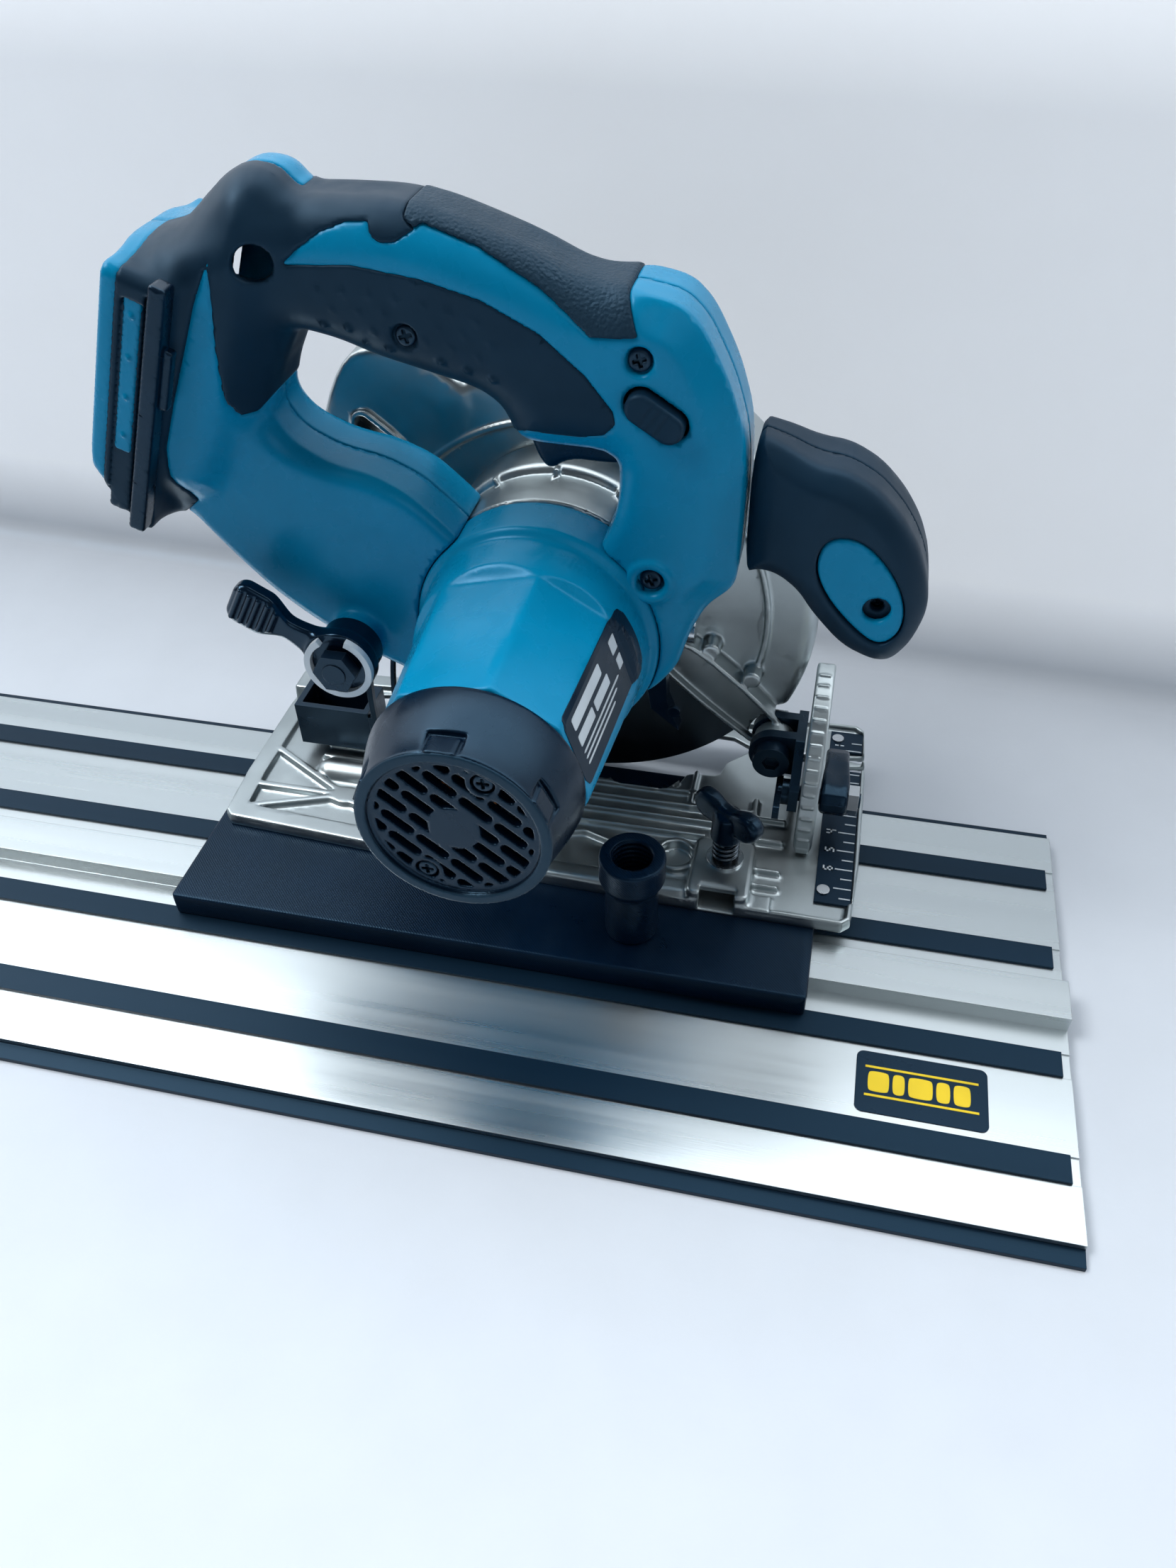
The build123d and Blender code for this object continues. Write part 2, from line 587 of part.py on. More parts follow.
def gear_housing():
    seat = HANDLE_Y + 0.2
    body = y_rod(MOTOR_X, MOTOR_Z, COLLAR_RADIUS - GAP, seat, HANDLE_Y + HANDLE_HALF + 0.5)
    dome = y_rod(MOTOR_X, MOTOR_Z, 43.5, HANDLE_Y + HANDLE_HALF + 0.5, CASE_NEAR)
    body += dome
    body += y_rod(SPINDLE_X, SPINDLE_Z, 25, HANDLE_Y + HANDLE_HALF + 0.5, CASE_NEAR)
    hollow = y_rod(MOTOR_X, MOTOR_Z, 37.5, 52, CASE_NEAR)
    hollow += y_rod(SPINDLE_X, SPINDLE_Z, 22.3, 58, CASE_NEAR)
    hollow -= y_rod(SPINDLE_X, SPINDLE_Z, 12.5, 45, 58)
    body -= hollow
    body -= y_rod(MOTOR_X, MOTOR_Z, 8, seat, 52)
    body -= y_rod(SPINDLE_X, SPINDLE_Z, 9.5, 50, 58)
    body += x_rod(LOCK_Y, SPINDLE_Z, 5.5, 36, 47)
    return body - x_rod(LOCK_Y, SPINDLE_Z, LOCK_RADIUS + 0.05, 30, 48)


def bearing(x, z, outer, inner, y0, y1):
    """Ball bearing: two rings and the ball cage between them."""
    width = y1 - y0
    middle = (outer + inner) / 2
    half_race = (outer - inner) * 0.12
    outer_ring = ring_y(x, z, outer, middle + half_race, y0, y1)
    inner_ring = ring_y(x, z, middle - half_race, inner, y0, y1)
    half_cage = half_race - 0.05
    cage = ring_y(x, z, middle + half_cage, middle - half_cage, y0 + width * 0.3, y1 - width * 0.3)
    return [outer_ring, inner_ring, cage]


def motor_bearings():
    inner = SHAFT_RADIUS + BEARING_GAP
    front = bearing(MOTOR_X, MOTOR_Z, 8, inner, 45.4, 50.4)
    return front + bearing(MOTOR_X, MOTOR_Z, 8, inner, -61.5, -56.5)


def spindle_bearings():
    rear = bearing(SPINDLE_X, SPINDLE_Z, 9.5, SPINDLE_RADIUS - 2 + BEARING_GAP, 51, 57)
    return rear + bearing(SPINDLE_X, SPINDLE_Z, 13, SPINDLE_RADIUS + BEARING_GAP, 84.5, 92)


def gear_disc(x, z, teeth, module, y0, y1, phase):
    """Spur form of the helical pair: trapezium teeth on the pitch circle."""
    pitch = teeth * module / 2
    root = pitch - 1.15 * module
    tip = pitch + 0.9 * module
    step = 360 / teeth
    points = []
    for i in range(teeth):
        base = phase + i * step
        points.append(polar(x, z, root, base - step * 0.30))
        points.append(polar(x, z, tip, base - step * 0.11))
        points.append(polar(x, z, tip, base + step * 0.11))
        points.append(polar(x, z, root, base + step * 0.30))
    return y_plate(points, y0, y1)


def drive_gear():
    line = 90 - MOTOR_LEAN
    body = gear_disc(SPINDLE_X, SPINDLE_Z, GEAR_TEETH, GEAR_MODULE, 62, 70, line)
    return body - y_rod(SPINDLE_X, SPINDLE_Z, SPINDLE_RADIUS, 60, 72)


def spindle():
    body = y_rod(SPINDLE_X, SPINDLE_Z, SPINDLE_RADIUS - 2, 51, 58)
    body += y_rod(SPINDLE_X, SPINDLE_Z, SPINDLE_RADIUS, 58, 98)
    body += y_rod(SPINDLE_X, SPINDLE_Z, 5, 98, 100)
    body -= x_rod(LOCK_Y, SPINDLE_Z, LOCK_RADIUS + 0.2, SPINDLE_X - 8, SPINDLE_X + 8)
    return body - y_rod(SPINDLE_X, SPINDLE_Z, 3, 88, 100)


def blade_flanges():
    y0 = BLADE_Y + BLADE_PLATE / 2
    inner = ring_y(SPINDLE_X, SPINDLE_Z, 15, SPINDLE_RADIUS, 94.4, BLADE_Y - BLADE_PLATE / 2)
    outer = ring_y(SPINDLE_X, SPINDLE_Z, 15, 3.1, 100.1, y0 + 3)
    outer += ring_y(SPINDLE_X, SPINDLE_Z, 15, 5.1, y0, 100.2)
    return [inner, outer]


def blade_bolt():
    body = y_rod(SPINDLE_X, SPINDLE_Z, 3, 88.5, 103)
    body += y_rod(SPINDLE_X, SPINDLE_Z, 8, 102.6, 104)
    return body + hex_y(SPINDLE_X, SPINDLE_Z, 10, 104, 108.5)


def saw_blade():
    x, z = SPINDLE_X, SPINDLE_Z
    y0, y1 = BLADE_Y - BLADE_PLATE / 2, BLADE_Y + BLADE_PLATE / 2
    gullet = BLADE_RADIUS - 8
    step = 360 / BLADE_TEETH
    points = []
    for i in range(BLADE_TEETH):
        base = i * step
        points.append(polar(x, z, BLADE_RADIUS, base))
        points.append(polar(x, z, BLADE_RADIUS - 1.6, base + step * 0.45))
        points.append(polar(x, z, gullet, base + step * 0.72))
        points.append(polar(x, z, gullet + 0.8, base + step * 0.9))
    body = y_plate(points, y0, y1)
    body -= y_rod(x, z, 5, y0, y1)
    for i in range(4):
        angle = 45 + 90 * i
        hole = polar(x, z, 62, angle)
        body -= y_rod(*hole, 2.2, y0, y1)
        body -= y_slot(*polar(x, z, 69, angle), 16, 0.8, angle, y0, y1)
    return body


def lower_guard():
    x, z = SPINDLE_X, SPINDLE_Z
    shell = y_rod(x, z, GUARD_RADIUS, GUARD_NEAR, GUARD_FAR)
    shell -= y_rod(x, z, GUARD_RADIUS - GUARD_WALL, GUARD_NEAR + GUARD_WALL, GUARD_FAR - GUARD_WALL)
    shell -= y_rod(x, z, 62, GUARD_FAR - GUARD_WALL - 1, GUARD_FAR + 1)
    half = sector(x, z, GUARD_RADIUS + 4, CASE_EDGE_ANGLE, CASE_EDGE_ANGLE + 180, 90, 110)
    shell = shell & half
    shell += y_rod(x, z, 22, 87, GUARD_NEAR + GUARD_WALL)
    shell -= y_rod(x, z, 16.06, 86, GUARD_NEAR + GUARD_WALL)
    return [shell, guard_knob()]


def guard_knob():
    """Thumb knob on a tab, for opening the lower guard by hand."""
    knob_x, knob_z = polar(SPINDLE_X, SPINDLE_Z, 52, GUARD_KNOB_ANGLE)
    tab_x, tab_z = polar(SPINDLE_X, SPINDLE_Z, 59, GUARD_KNOB_ANGLE)
    tab = y_slot(tab_x, tab_z, 26, 12, GUARD_KNOB_ANGLE, GUARD_FAR, GUARD_FAR + 2)
    return tab + y_rod(knob_x, knob_z, 5, GUARD_FAR + 2, GUARD_KNOB_END)


def guard_spring():
    """Return spring of the lower guard, between the case and the guard hub."""
    start = (SPINDLE_X - 24, 90, SPINDLE_Z + 30)
    return Pos(*start) * Rot(0, -30, 0) * coil(2.2, 0.5, 1.5, 30)


# Motor

def end_cap():
    outer = y_cone(MOTOR_X, MOTOR_Z, CAP_RADIUS, JOINT_RADIUS - 0.6, CAP_END + 3, CAP_JOINT)
    outer += y_rod(MOTOR_X, MOTOR_Z, CAP_RADIUS, CAP_END, CAP_END + 3)
    body = outer - y_rod(MOTOR_X, MOTOR_Z, 25.5, CAP_END + 4.5, CAP_JOINT)
    body -= y_rod(MOTOR_X, MOTOR_Z, CAP_RADIUS - 3, CAP_END, CAP_END + 1.2)
    body += y_rod(MOTOR_X, MOTOR_Z, 10, CAP_END + 4.4, -55)
    for row in range(-3, 4):
        for column in range(-2, 3):
            along = column * 9.5 + (4.7 if row % 2 else 0)
            across = row * 6.2
            reach = math.hypot(along, across)
            if 10 < reach < 20:
                x, z = polar(MOTOR_X, MOTOR_Z, reach, math.degrees(math.atan2(across, along)) - 40)
                body -= y_slot(x, z, 7.6, 3, -40, CAP_END, CAP_END + 5)
    body -= y_rod(MOTOR_X, MOTOR_Z, 8, -61.6, -54)
    for screw_x, screw_z in cap_screw_places():
        body += y_rod(screw_x, screw_z, 4.4, CAP_END + 4.4, -50)
        body -= y_rod(screw_x, screw_z, 3.2, CAP_END, CAP_END + 4)
        body -= y_rod(screw_x, screw_z, 1.8, CAP_END, -49)
    return body


def cap_screw_places():
    return [polar(MOTOR_X, MOTOR_Z, 20.5, angle) for angle in (62, 242)]


def cap_screws():
    return [screw_y(x, z, 3.1, 1.7, CAP_END + 1.6, CAP_END + 4, -42.4, 0.9) for x, z in cap_screw_places()]


def motor_housing():
    outer = y_cone(MOTOR_X, MOTOR_Z, JOINT_RADIUS, COLLAR_RADIUS, CAP_JOINT, 30)
    outer += y_rod(MOTOR_X, MOTOR_Z, COLLAR_RADIUS, 30, HOUSING_END)
    body = outer - y_rod(MOTOR_X, MOTOR_Z, 25, CAP_JOINT, 18)
    return body - y_rod(MOTOR_X, MOTOR_Z, 37, 18, HOUSING_END)


def motor_can():
    body = ring_y(MOTOR_X, MOTOR_Z, 24.9, 22.9, -40, 16)
    return body + ring_y(MOTOR_X, MOTOR_Z, 24.9, 17, 14, 16)


def motor_magnets():
    tube = ring_y(MOTOR_X, MOTOR_Z, 22.8, 20.5, -34, 8)
    return [tube & sector(MOTOR_X, MOTOR_Z, 24, a - 65, a + 65, -34, 8) for a in (0, 180)]


def motor_stator():
    return [motor_can()] + motor_magnets()


def armature():
    """Shaft and lamination stack; the shaft ends where the pinion is pressed on."""
    x, z = MOTOR_X, MOTOR_Z
    body = y_rod(x, z, SHAFT_RADIUS, -61, 61)
    core = y_rod(x, z, 19.9, -32, 6)
    for i in range(12):
        core -= y_slot(*polar(x, z, 16.5, 30 * i), 9, 1.6, 30 * i, -32, 6)
    return body + core


def armature_windings():
    front = ring_y(MOTOR_X, MOTOR_Z, 17, SHAFT_RADIUS, 6, 13)
    rear = ring_y(MOTOR_X, MOTOR_Z, 17, SHAFT_RADIUS, -40, -32)
    return [fillet(end.edges().filter_by(GeomType.CIRCLE), 1) for end in (front, rear)]


def commutator():
    body = ring_y(MOTOR_X, MOTOR_Z, 9, SHAFT_RADIUS, -53, -41)
    for i in range(12):
        body -= y_slot(*polar(MOTOR_X, MOTOR_Z, 8.4, 30 * i), 2, 0.5, 30 * i, -53, -42)
    return body


def cooling_fan():
    x, z = MOTOR_X, MOTOR_Z
    body = ring_y(x, z, 9, SHAFT_RADIUS, 20, 32) + ring_y(x, z, 34, 9, 20, 22)
    for i in range(12):
        body += y_slot(*polar(x, z, 21, 30 * i), 25, 1.4, 30 * i + 25, 22, 30)
    return body & y_rod(x, z, 34, 19, 33)


def pinion():
    line = 270 - MOTOR_LEAN
    body = gear_disc(MOTOR_X, MOTOR_Z, PINION_TEETH, GEAR_MODULE, 61, 71, line + 180 / PINION_TEETH)
    return body


def brush_gear():
    """Brush plate and the two brush boxes on it."""
    plate = ring_y(MOTOR_X, MOTOR_Z, 24.4, 11, -44.5, -42.5)
    for x, z in cap_screw_places():
        plate -= y_rod(x, z, 1.75, -45, -42)
    holders = [plate]
    for side in (-1, 1):
        x0, x1 = sorted((MOTOR_X + side * 11, MOTOR_X + side * 23))
        holder = box(x0, x1, -52.5, -44.6, MOTOR_Z - 4, MOTOR_Z + 4)
        holders.append(holder - box(x0, x1, -51.5, -45.6, MOTOR_Z - 3, MOTOR_Z + 3))
    return holders


def carbon_brushes():
    brushes = []
    for side in (-1, 1):
        x0, x1 = sorted((MOTOR_X + side * 9.4, MOTOR_X + side * 17))
        brushes.append(box(x0, x1, -51.4, -45.7, MOTOR_Z - 2.9, MOTOR_Z + 2.9))
    return brushes


def shaft_lock():
    """Button and pin that hold the spindle while the blade bolt is turned."""
    tip = SPINDLE_X + SPINDLE_RADIUS + 0.7
    pin = x_rod(LOCK_Y, SPINDLE_Z, LOCK_RADIUS, tip, 53)
    return pin + x_rod(LOCK_Y, SPINDLE_Z, 5, 50.5, 55)


# Handle and body shells

BAR_TOP = [(-63, 254), (-58, 248), (-47, 249), (-28, 249), (-14, 246), (8, 239), (25, 231), (37, 231)]
HEAD_FRONT = [(50, 229), (57, 222), (65, 208), (70, 193), (72.5, 168), (71, 143), (63, 136), (58, 125)]
BODY_UNDER = [(55, 112), (48, 102), (36, 92), (8, 80), (-28, 92), (-52, 102), (-74, 114), (-88, 128)]
BODY_REAR = [(-99, 140), (-108, 155), (-112, 170), (-100, 215), (-92, 230), (-80, 246), (-74, 252)]
BODY = BAR_TOP + HEAD_FRONT + BODY_UNDER + BODY_REAR
OPENING_TOP = [(-62, 213), (-49, 210), (-40, 207), (-25, 203), (-8, 199), (-1, 195), (2, 188), (6, 184)]
OPENING_FRONT = [(35, 184), (35, 170), (33, 162), (27, 150)]
OPENING_UNDER = [(-14, 150), (-24, 156), (-34, 166), (-44, 171), (-62, 174)]
OPENING_REAR = [(-71, 181), (-74, 190), (-69, 200)]
OPENING = OPENING_TOP + OPENING_FRONT + OPENING_UNDER + OPENING_REAR
MOUNT_FRONT = [(-106, 237), (-89, 240), (-80, 249), (-70, 248), (-80, 215), (-94, 172)]
MOUNT_REAR = [(-104, 157), (-117, 153), (-121, 158), (-120, 170), (-126, 184)]
MOUNT = MOUNT_FRONT + MOUNT_REAR
TERMINAL_WINDOW = [(-118, 227), (-104, 227), (-119, 187), (-133, 187)]


def half_span(side, width, wall=0):
    """Y limits of one half that reaches width from the split plane, less the wall on its outer side."""
    if side > 0:
        return HANDLE_Y, HANDLE_Y + width - wall
    return HANDLE_Y - width + wall, HANDLE_Y


def handle_half(side):
    """One moulded half; side -1 is the motor side, +1 the blade side."""
    near, far = half_span(side, HANDLE_HALF)
    body_outline = Polygon(*BODY, align=None)
    opening_outline = Polygon(*OPENING, align=None)
    mount_outline = Polygon(*MOUNT, align=None)
    body = y_solid(body_outline - opening_outline, near, far)
    body += y_solid(mount_outline, *half_span(side, MOUNT_HALF))
    boss_span = (near - 6, far) if side < 0 else (near, far + 2)
    body += y_rod(DEPTH_BOLT_X, DEPTH_BOLT_Z, 9, *boss_span)
    body -= handle_hollow(side, body_outline, opening_outline, mount_outline)
    body -= y_rod(MOTOR_X, MOTOR_Z, COLLAR_RADIUS + GAP, near - 10, far + 10)
    body -= box(2, 37, HANDLE_Y - 7.6, HANDLE_Y + 7.6, 172, 198)
    body -= y_plate(TERMINAL_WINDOW, HANDLE_Y - 16, HANDLE_Y + 16)
    body -= y_rod(DEPTH_BOLT_X, DEPTH_BOLT_Z, PIVOT_RADIUS + 0.05, 10, 70)
    body -= y_rod(*TRIGGER_PIN, 1.55, HANDLE_Y - 11, HANDLE_Y + 11)
    for x, z in handle_screw_places():
        body -= y_rod(x, z, 1.9, near, far)
        if side < 0:
            body -= y_rod(x, z, 3.7, near, near + 3.4)
    return body


def handle_hollow(side, body_outline, opening_outline, mount_outline):
    """The space inside one half, around the screw posts and the clamp bolt post."""
    near, far = half_span(side, HANDLE_HALF)
    cavity = offset(body_outline, -SHELL_WALL, kind=Kind.INTERSECTION)
    cavity -= offset(opening_outline, SHELL_WALL, kind=Kind.INTERSECTION)
    hollow = y_solid(cavity, *half_span(side, HANDLE_HALF, SHELL_WALL))
    mount_cavity = offset(mount_outline, -SHELL_WALL, kind=Kind.INTERSECTION)
    hollow += y_solid(mount_cavity, *half_span(side, MOUNT_HALF, SHELL_WALL))
    for x, z in handle_screw_places():
        hollow -= y_rod(x, z, 5, near, far)
    return hollow - y_rod(DEPTH_BOLT_X, DEPTH_BOLT_Z, 7, near, far)


def handle_screw_places():
    return [(-66, 234), (41, 214), (45.5, 144.5), (-26, 216)]


def handle_near():
    body = handle_half(-1)
    near = HANDLE_Y - HANDLE_HALF
    body -= y_slot(46, 199, 19.4, 9.4, -32, near, near + 10)
    body -= y_plate(SIDE_PAD, near, near + 1)
    return body


def handle_far():
    body = handle_half(1)
    far = HANDLE_Y + HANDLE_HALF
    return body - y_plate(SIDE_PAD, far - 1, far)


PAD_TOP = [(-57, 231), (-39, 233), (-18, 230), (-3, 226), (12, 217), (24, 206), (30, 196)]
PAD_UNDER = [(20, 191), (8, 191), (1, 199), (-10, 204), (-25, 208), (-42, 212.5), (-56, 216)]
SIDE_PAD = PAD_TOP + PAD_UNDER


def handle_overmould():
    """Soft side pads and the soft strip along the back of the handle."""
    return side_pads() + [top_grip()]


def side_pads():
    near = HANDLE_Y - HANDLE_HALF
    far = HANDLE_Y + HANDLE_HALF
    pads = []
    for y0, y1 in ((near - 0.6, near + 1), (far - 1, far + 0.6)):
        pad = y_plate(SIDE_PAD, y0, y1)
        pads.append(pad - y_rod(-26, 216, 3.9, y0 - 1, y1 + 1))
    return pads


def housing_screws():
    """Screws of the handle halves, of the front grip and of the motor end cap."""
    near = HANDLE_Y - HANDLE_HALF
    screws = []
    for x, z in handle_screw_places():
        screws.append(screw_y(x, z, 3.6, 1.8, near + 1, near + 3.3, HANDLE_Y + 12, 1))
    return screws + [grip_screw()] + cap_screws()


GRIP_SKIN = [(37, 234), (26, 234), (9, 242), (-13, 249), (-28, 252), (-48, 252), (-58, 251)]
TOP_GRIP = [(-58, 248)] + BAR_TOP[2:] + GRIP_SKIN


def top_grip():
    """Soft rubber overmould along the back of the handle."""
    return y_plate(TOP_GRIP, HANDLE_Y - 13, HANDLE_Y + 13)


GRIP_TOP = [(73.2, 191), (82, 189), (92, 184.5), (101, 183.5), (110.5, 178.5), (118.5, 170.5), (124.5, 162)]
GRIP_NOSE = [(128.5, 152), (130.5, 141), (127.5, 129), (122.5, 121), (116.5, 120.5)]
GRIP_UNDER = [(106, 125), (96, 135.5), (90.5, 143), (84, 148), (78, 148), (73.2, 146)]
FRONT_GRIP = GRIP_TOP + GRIP_NOSE + GRIP_UNDER
INSERT_REAR = [(107, 166), (97, 164), (95, 155), (100, 144), (108, 135)]
INSERT_FRONT = [(117, 129), (123, 134), (123, 145), (117, 157)]
GRIP_INSERT = INSERT_REAR + INSERT_FRONT
GRIP_SCREW = (115, 142)


def front_grip_half(side):
    near, far = half_span(side, FRONT_GRIP_HALF)
    body = y_plate(FRONT_GRIP, near, far)
    cavity = offset(Polygon(*FRONT_GRIP, align=None), -SHELL_WALL, kind=Kind.INTERSECTION)
    body -= y_solid(cavity, *half_span(side, FRONT_GRIP_HALF, 4))
    face = far if side > 0 else near
    body -= y_plate(GRIP_INSERT, face - 1.5, face + 1.5)
    body += y_rod(*GRIP_SCREW, 5, *half_span(side, FRONT_GRIP_HALF, 2))
    body -= y_rod(*GRIP_SCREW, 1.9, near - 1, far + 1)
    if side < 0:
        body -= y_rod(*GRIP_SCREW, 3.7, near, near + 2)
    return body


def front_grip_near():
    return front_grip_half(-1)


def front_grip_far():
    return front_grip_half(1)


def grip_inserts():
    inserts = []
    for face, side in ((HANDLE_Y - FRONT_GRIP_HALF, -1), (HANDLE_Y + FRONT_GRIP_HALF, 1)):
        y0, y1 = (face - 0.5, face + 1.5) if side < 0 else (face - 1.5, face + 0.5)
        pad = y_plate(GRIP_INSERT, y0, y1)
        inserts.append(pad - y_rod(*GRIP_SCREW, 3.7, y0, y1))
    return inserts


def grip_screw():
    near = HANDLE_Y - FRONT_GRIP_HALF
    return screw_y(*GRIP_SCREW, 3.5, 1.8, near - 0.2, near + 1.9, HANDLE_Y + 13, 1)


def battery_rails():
    bar = [(-89, 232), (-84, 232), (-113, 157), (-118, 157)]
    near = HANDLE_Y - MOUNT_HALF
    far = HANDLE_Y + MOUNT_HALF
    return [y_plate(bar, near - 5, near), y_plate(bar, far, far + 5)]


def terminal_block():
    """Contact carrier set in the rear face of the battery mount."""
    points = [(-101, 226), (-98, 226), (-114, 184), (-117, 184)]
    blade = [(-107, 224), (-101.6, 224), (-107, 210), (-112.5, 210)]
    contacts = [y_plate(blade, y - 0.5, y + 0.5) for y in (HANDLE_Y - 12, HANDLE_Y, HANDLE_Y + 12)]
    return [y_plate(points, HANDLE_Y - 18, HANDLE_Y + 18)] + contacts


def trigger():
    points = [(5, 189), (31, 190), (35.5, 187), (35, 178), (29, 177.5), (18, 178), (12, 173.5), (8, 178)]
    body = y_plate(points, HANDLE_Y - 7, HANDLE_Y + 7, 0.8)
    return body + y_rod(*TRIGGER_PIN, 1.5, HANDLE_Y - 10.8, HANDLE_Y + 10.8)


def switch():
    body = box(-14, 26, HANDLE_Y - 10, HANDLE_Y + 10, 204.5, 221)
    return body + z_rod(10, HANDLE_Y, 2.5, 199, 204.5)


def lock_off_button():
    near = HANDLE_Y - HANDLE_HALF
    return y_slot(46, 199, 19, 9, -32, near - 3.5, near + 9)


def power_leads():
    leads = []
    for shift in (-4, 4):
        leads.append(x_rod(HANDLE_Y + shift, 224, 1.4, -70, -15))
    return leads


# Depth clamp on the handle arm

def depth_bolt():
    body = y_rod(DEPTH_BOLT_X, DEPTH_BOLT_Z, PIVOT_RADIUS, 3, 67)
    return body + y_rod(DEPTH_BOLT_X, DEPTH_BOLT_Z, 6, 67, 70.5)


def depth_lever():
    hub = y_rod(DEPTH_BOLT_X, DEPTH_BOLT_Z, CLAMP_HUB_RADIUS, 8, 14.5)
    hub += y_rod(DEPTH_BOLT_X, DEPTH_BOLT_Z, CLAMP_NECK_RADIUS, 14.5, 21.9)
    arm_top = [(-54, 122), (-62, 124), (-74, 129), (-89, 139)]
    arm_under = [(-93, 134), (-89, 127), (-76, 119), (-66, 108), (-56, 104)]
    body = hub + y_plate(arm_top + arm_under, 10, 16, 2)
    body -= y_rod(DEPTH_BOLT_X, DEPTH_BOLT_Z, PIVOT_RADIUS + 0.05, 7, 22)
    ring = y_rod(DEPTH_BOLT_X, DEPTH_BOLT_Z, 12, 8, 9.2) - y_rod(DEPTH_BOLT_X, DEPTH_BOLT_Z, 9.5, 8, 9.2)
    return body - ring


def depth_stop_ring():
    """Light retaining ring around the clamp nut."""
    ring = ring_y(DEPTH_BOLT_X, DEPTH_BOLT_Z, 11.8, 9.6, 6.8, 9.1)
    return ring - sector(DEPTH_BOLT_X, DEPTH_BOLT_Z, 13, 70, 120, 6, 10)


def depth_nut():
    nut = hex_y(DEPTH_BOLT_X, DEPTH_BOLT_Z, 13, 3.4, 7.9)
    return nut - y_rod(DEPTH_BOLT_X, DEPTH_BOLT_Z, PIVOT_RADIUS, 3, 8)


# Work light under the front of the blade case

def work_light():
    points = [(47, 70), (52, 57), (41, 66), (38, 84), (46, 88)]
    lens = y_rod(50, 66.5, 2.4, 61.9, 63.5)
    return [y_plate(points, 63.5, 70), lens]


BUILDERS = [
    rail_extrusion, grip_strips, splinter_guards, anti_slip_pads, rail_label,
    adapter_plate, adapter_knob,
    base_plate, scale_plate, base_fasteners, fence_spring, fence_screw, bevel_quadrant,
    front_bracket, depth_pivot_bolt, bracket_nuts, bevel_bolt, bevel_lever, rear_bracket, depth_guide,
    blade_case, gear_housing, motor_bearings, spindle_bearings,
    drive_gear, spindle, blade_flanges, blade_bolt, saw_blade, lower_guard, guard_spring,
    end_cap, motor_housing, motor_stator, armature, armature_windings, commutator, cooling_fan,
    pinion, brush_gear, carbon_brushes, shaft_lock,
    handle_near, handle_far, handle_overmould, housing_screws, front_grip_near, front_grip_far, grip_inserts,
    battery_rails, terminal_block, trigger, switch, lock_off_button, power_leads,
    depth_bolt, depth_lever, depth_stop_ring, depth_nut, work_light,
]


def main():
    os.makedirs("parts", exist_ok=True)
    for build in BUILDERS:
        shape = build()
        pieces = shape if isinstance(shape, list) else [shape]
        solids = [solid for piece in pieces for solid in piece.solids()]
        export_step(Compound(children=solids), f"parts/{build.__name__}.step")


main()
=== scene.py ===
import functools
import json
from math import cos, hypot, pi, radians, sin, sqrt

import bpy
import numpy as np
import openvdb
from mathutils import Matrix, Vector


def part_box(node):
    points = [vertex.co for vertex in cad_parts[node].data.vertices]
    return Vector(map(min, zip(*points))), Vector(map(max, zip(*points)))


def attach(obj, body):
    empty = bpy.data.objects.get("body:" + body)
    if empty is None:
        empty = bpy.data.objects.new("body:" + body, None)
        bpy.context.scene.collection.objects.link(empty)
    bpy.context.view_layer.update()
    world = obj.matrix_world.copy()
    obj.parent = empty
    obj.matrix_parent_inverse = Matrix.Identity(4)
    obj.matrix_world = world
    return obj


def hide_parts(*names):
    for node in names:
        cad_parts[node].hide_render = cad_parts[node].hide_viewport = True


# Looks of a circular saw on a guide rail. Moulded and cast pieces are distance fields, in
# millimetres, that are meshed at their zero surface; everything sits in the CAD frame.

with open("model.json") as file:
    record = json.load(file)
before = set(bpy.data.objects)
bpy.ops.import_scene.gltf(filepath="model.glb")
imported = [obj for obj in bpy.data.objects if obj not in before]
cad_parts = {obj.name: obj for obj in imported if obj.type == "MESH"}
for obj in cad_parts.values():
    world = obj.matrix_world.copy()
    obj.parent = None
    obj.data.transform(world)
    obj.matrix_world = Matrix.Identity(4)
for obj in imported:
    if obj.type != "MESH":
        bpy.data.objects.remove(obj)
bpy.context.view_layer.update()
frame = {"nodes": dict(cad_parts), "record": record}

MM = 0.001
COARSE = 1.0
MESH_THINNING = 0.012


def node_box(node):
    """Lowest and highest corner of a CAD node, in millimetres."""
    low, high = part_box(node)
    return np.array(low) / MM, np.array(high) / MM


def middle(node):
    low, high = node_box(node)
    return (low + high) / 2


# Places that the CAD gives
HANDLE_LOW, HANDLE_HIGH = node_box("handle_near")
HOUSING_LOW, HOUSING_HIGH = node_box("motor_housing")
HANDLE_Y = HANDLE_HIGH[1]
HALF = 17.0
NEAR = HANDLE_Y - HALF
MOUNT_HALF = HANDLE_Y - HANDLE_LOW[1]
MOTOR_X, _, MOTOR_Z = middle("motor_housing")
SPINDLE_X, _, SPINDLE_Z = middle("saw_blade")
PIVOT_X, _, PIVOT_Z = middle("depth_pivot_bolt")
CLAMP_X, _, CLAMP_Z = middle("depth_bolt")
CAP_END, CAP_JOINT = (corner[1] for corner in node_box("end_cap"))
HOUSING_END = HOUSING_HIGH[1]
COLLAR = (HOUSING_HIGH[0] - HOUSING_LOW[0]) / 2
RAIL_TOP = node_box("rail_label")[0][2]


# Distance fields: negative inside, millimetres

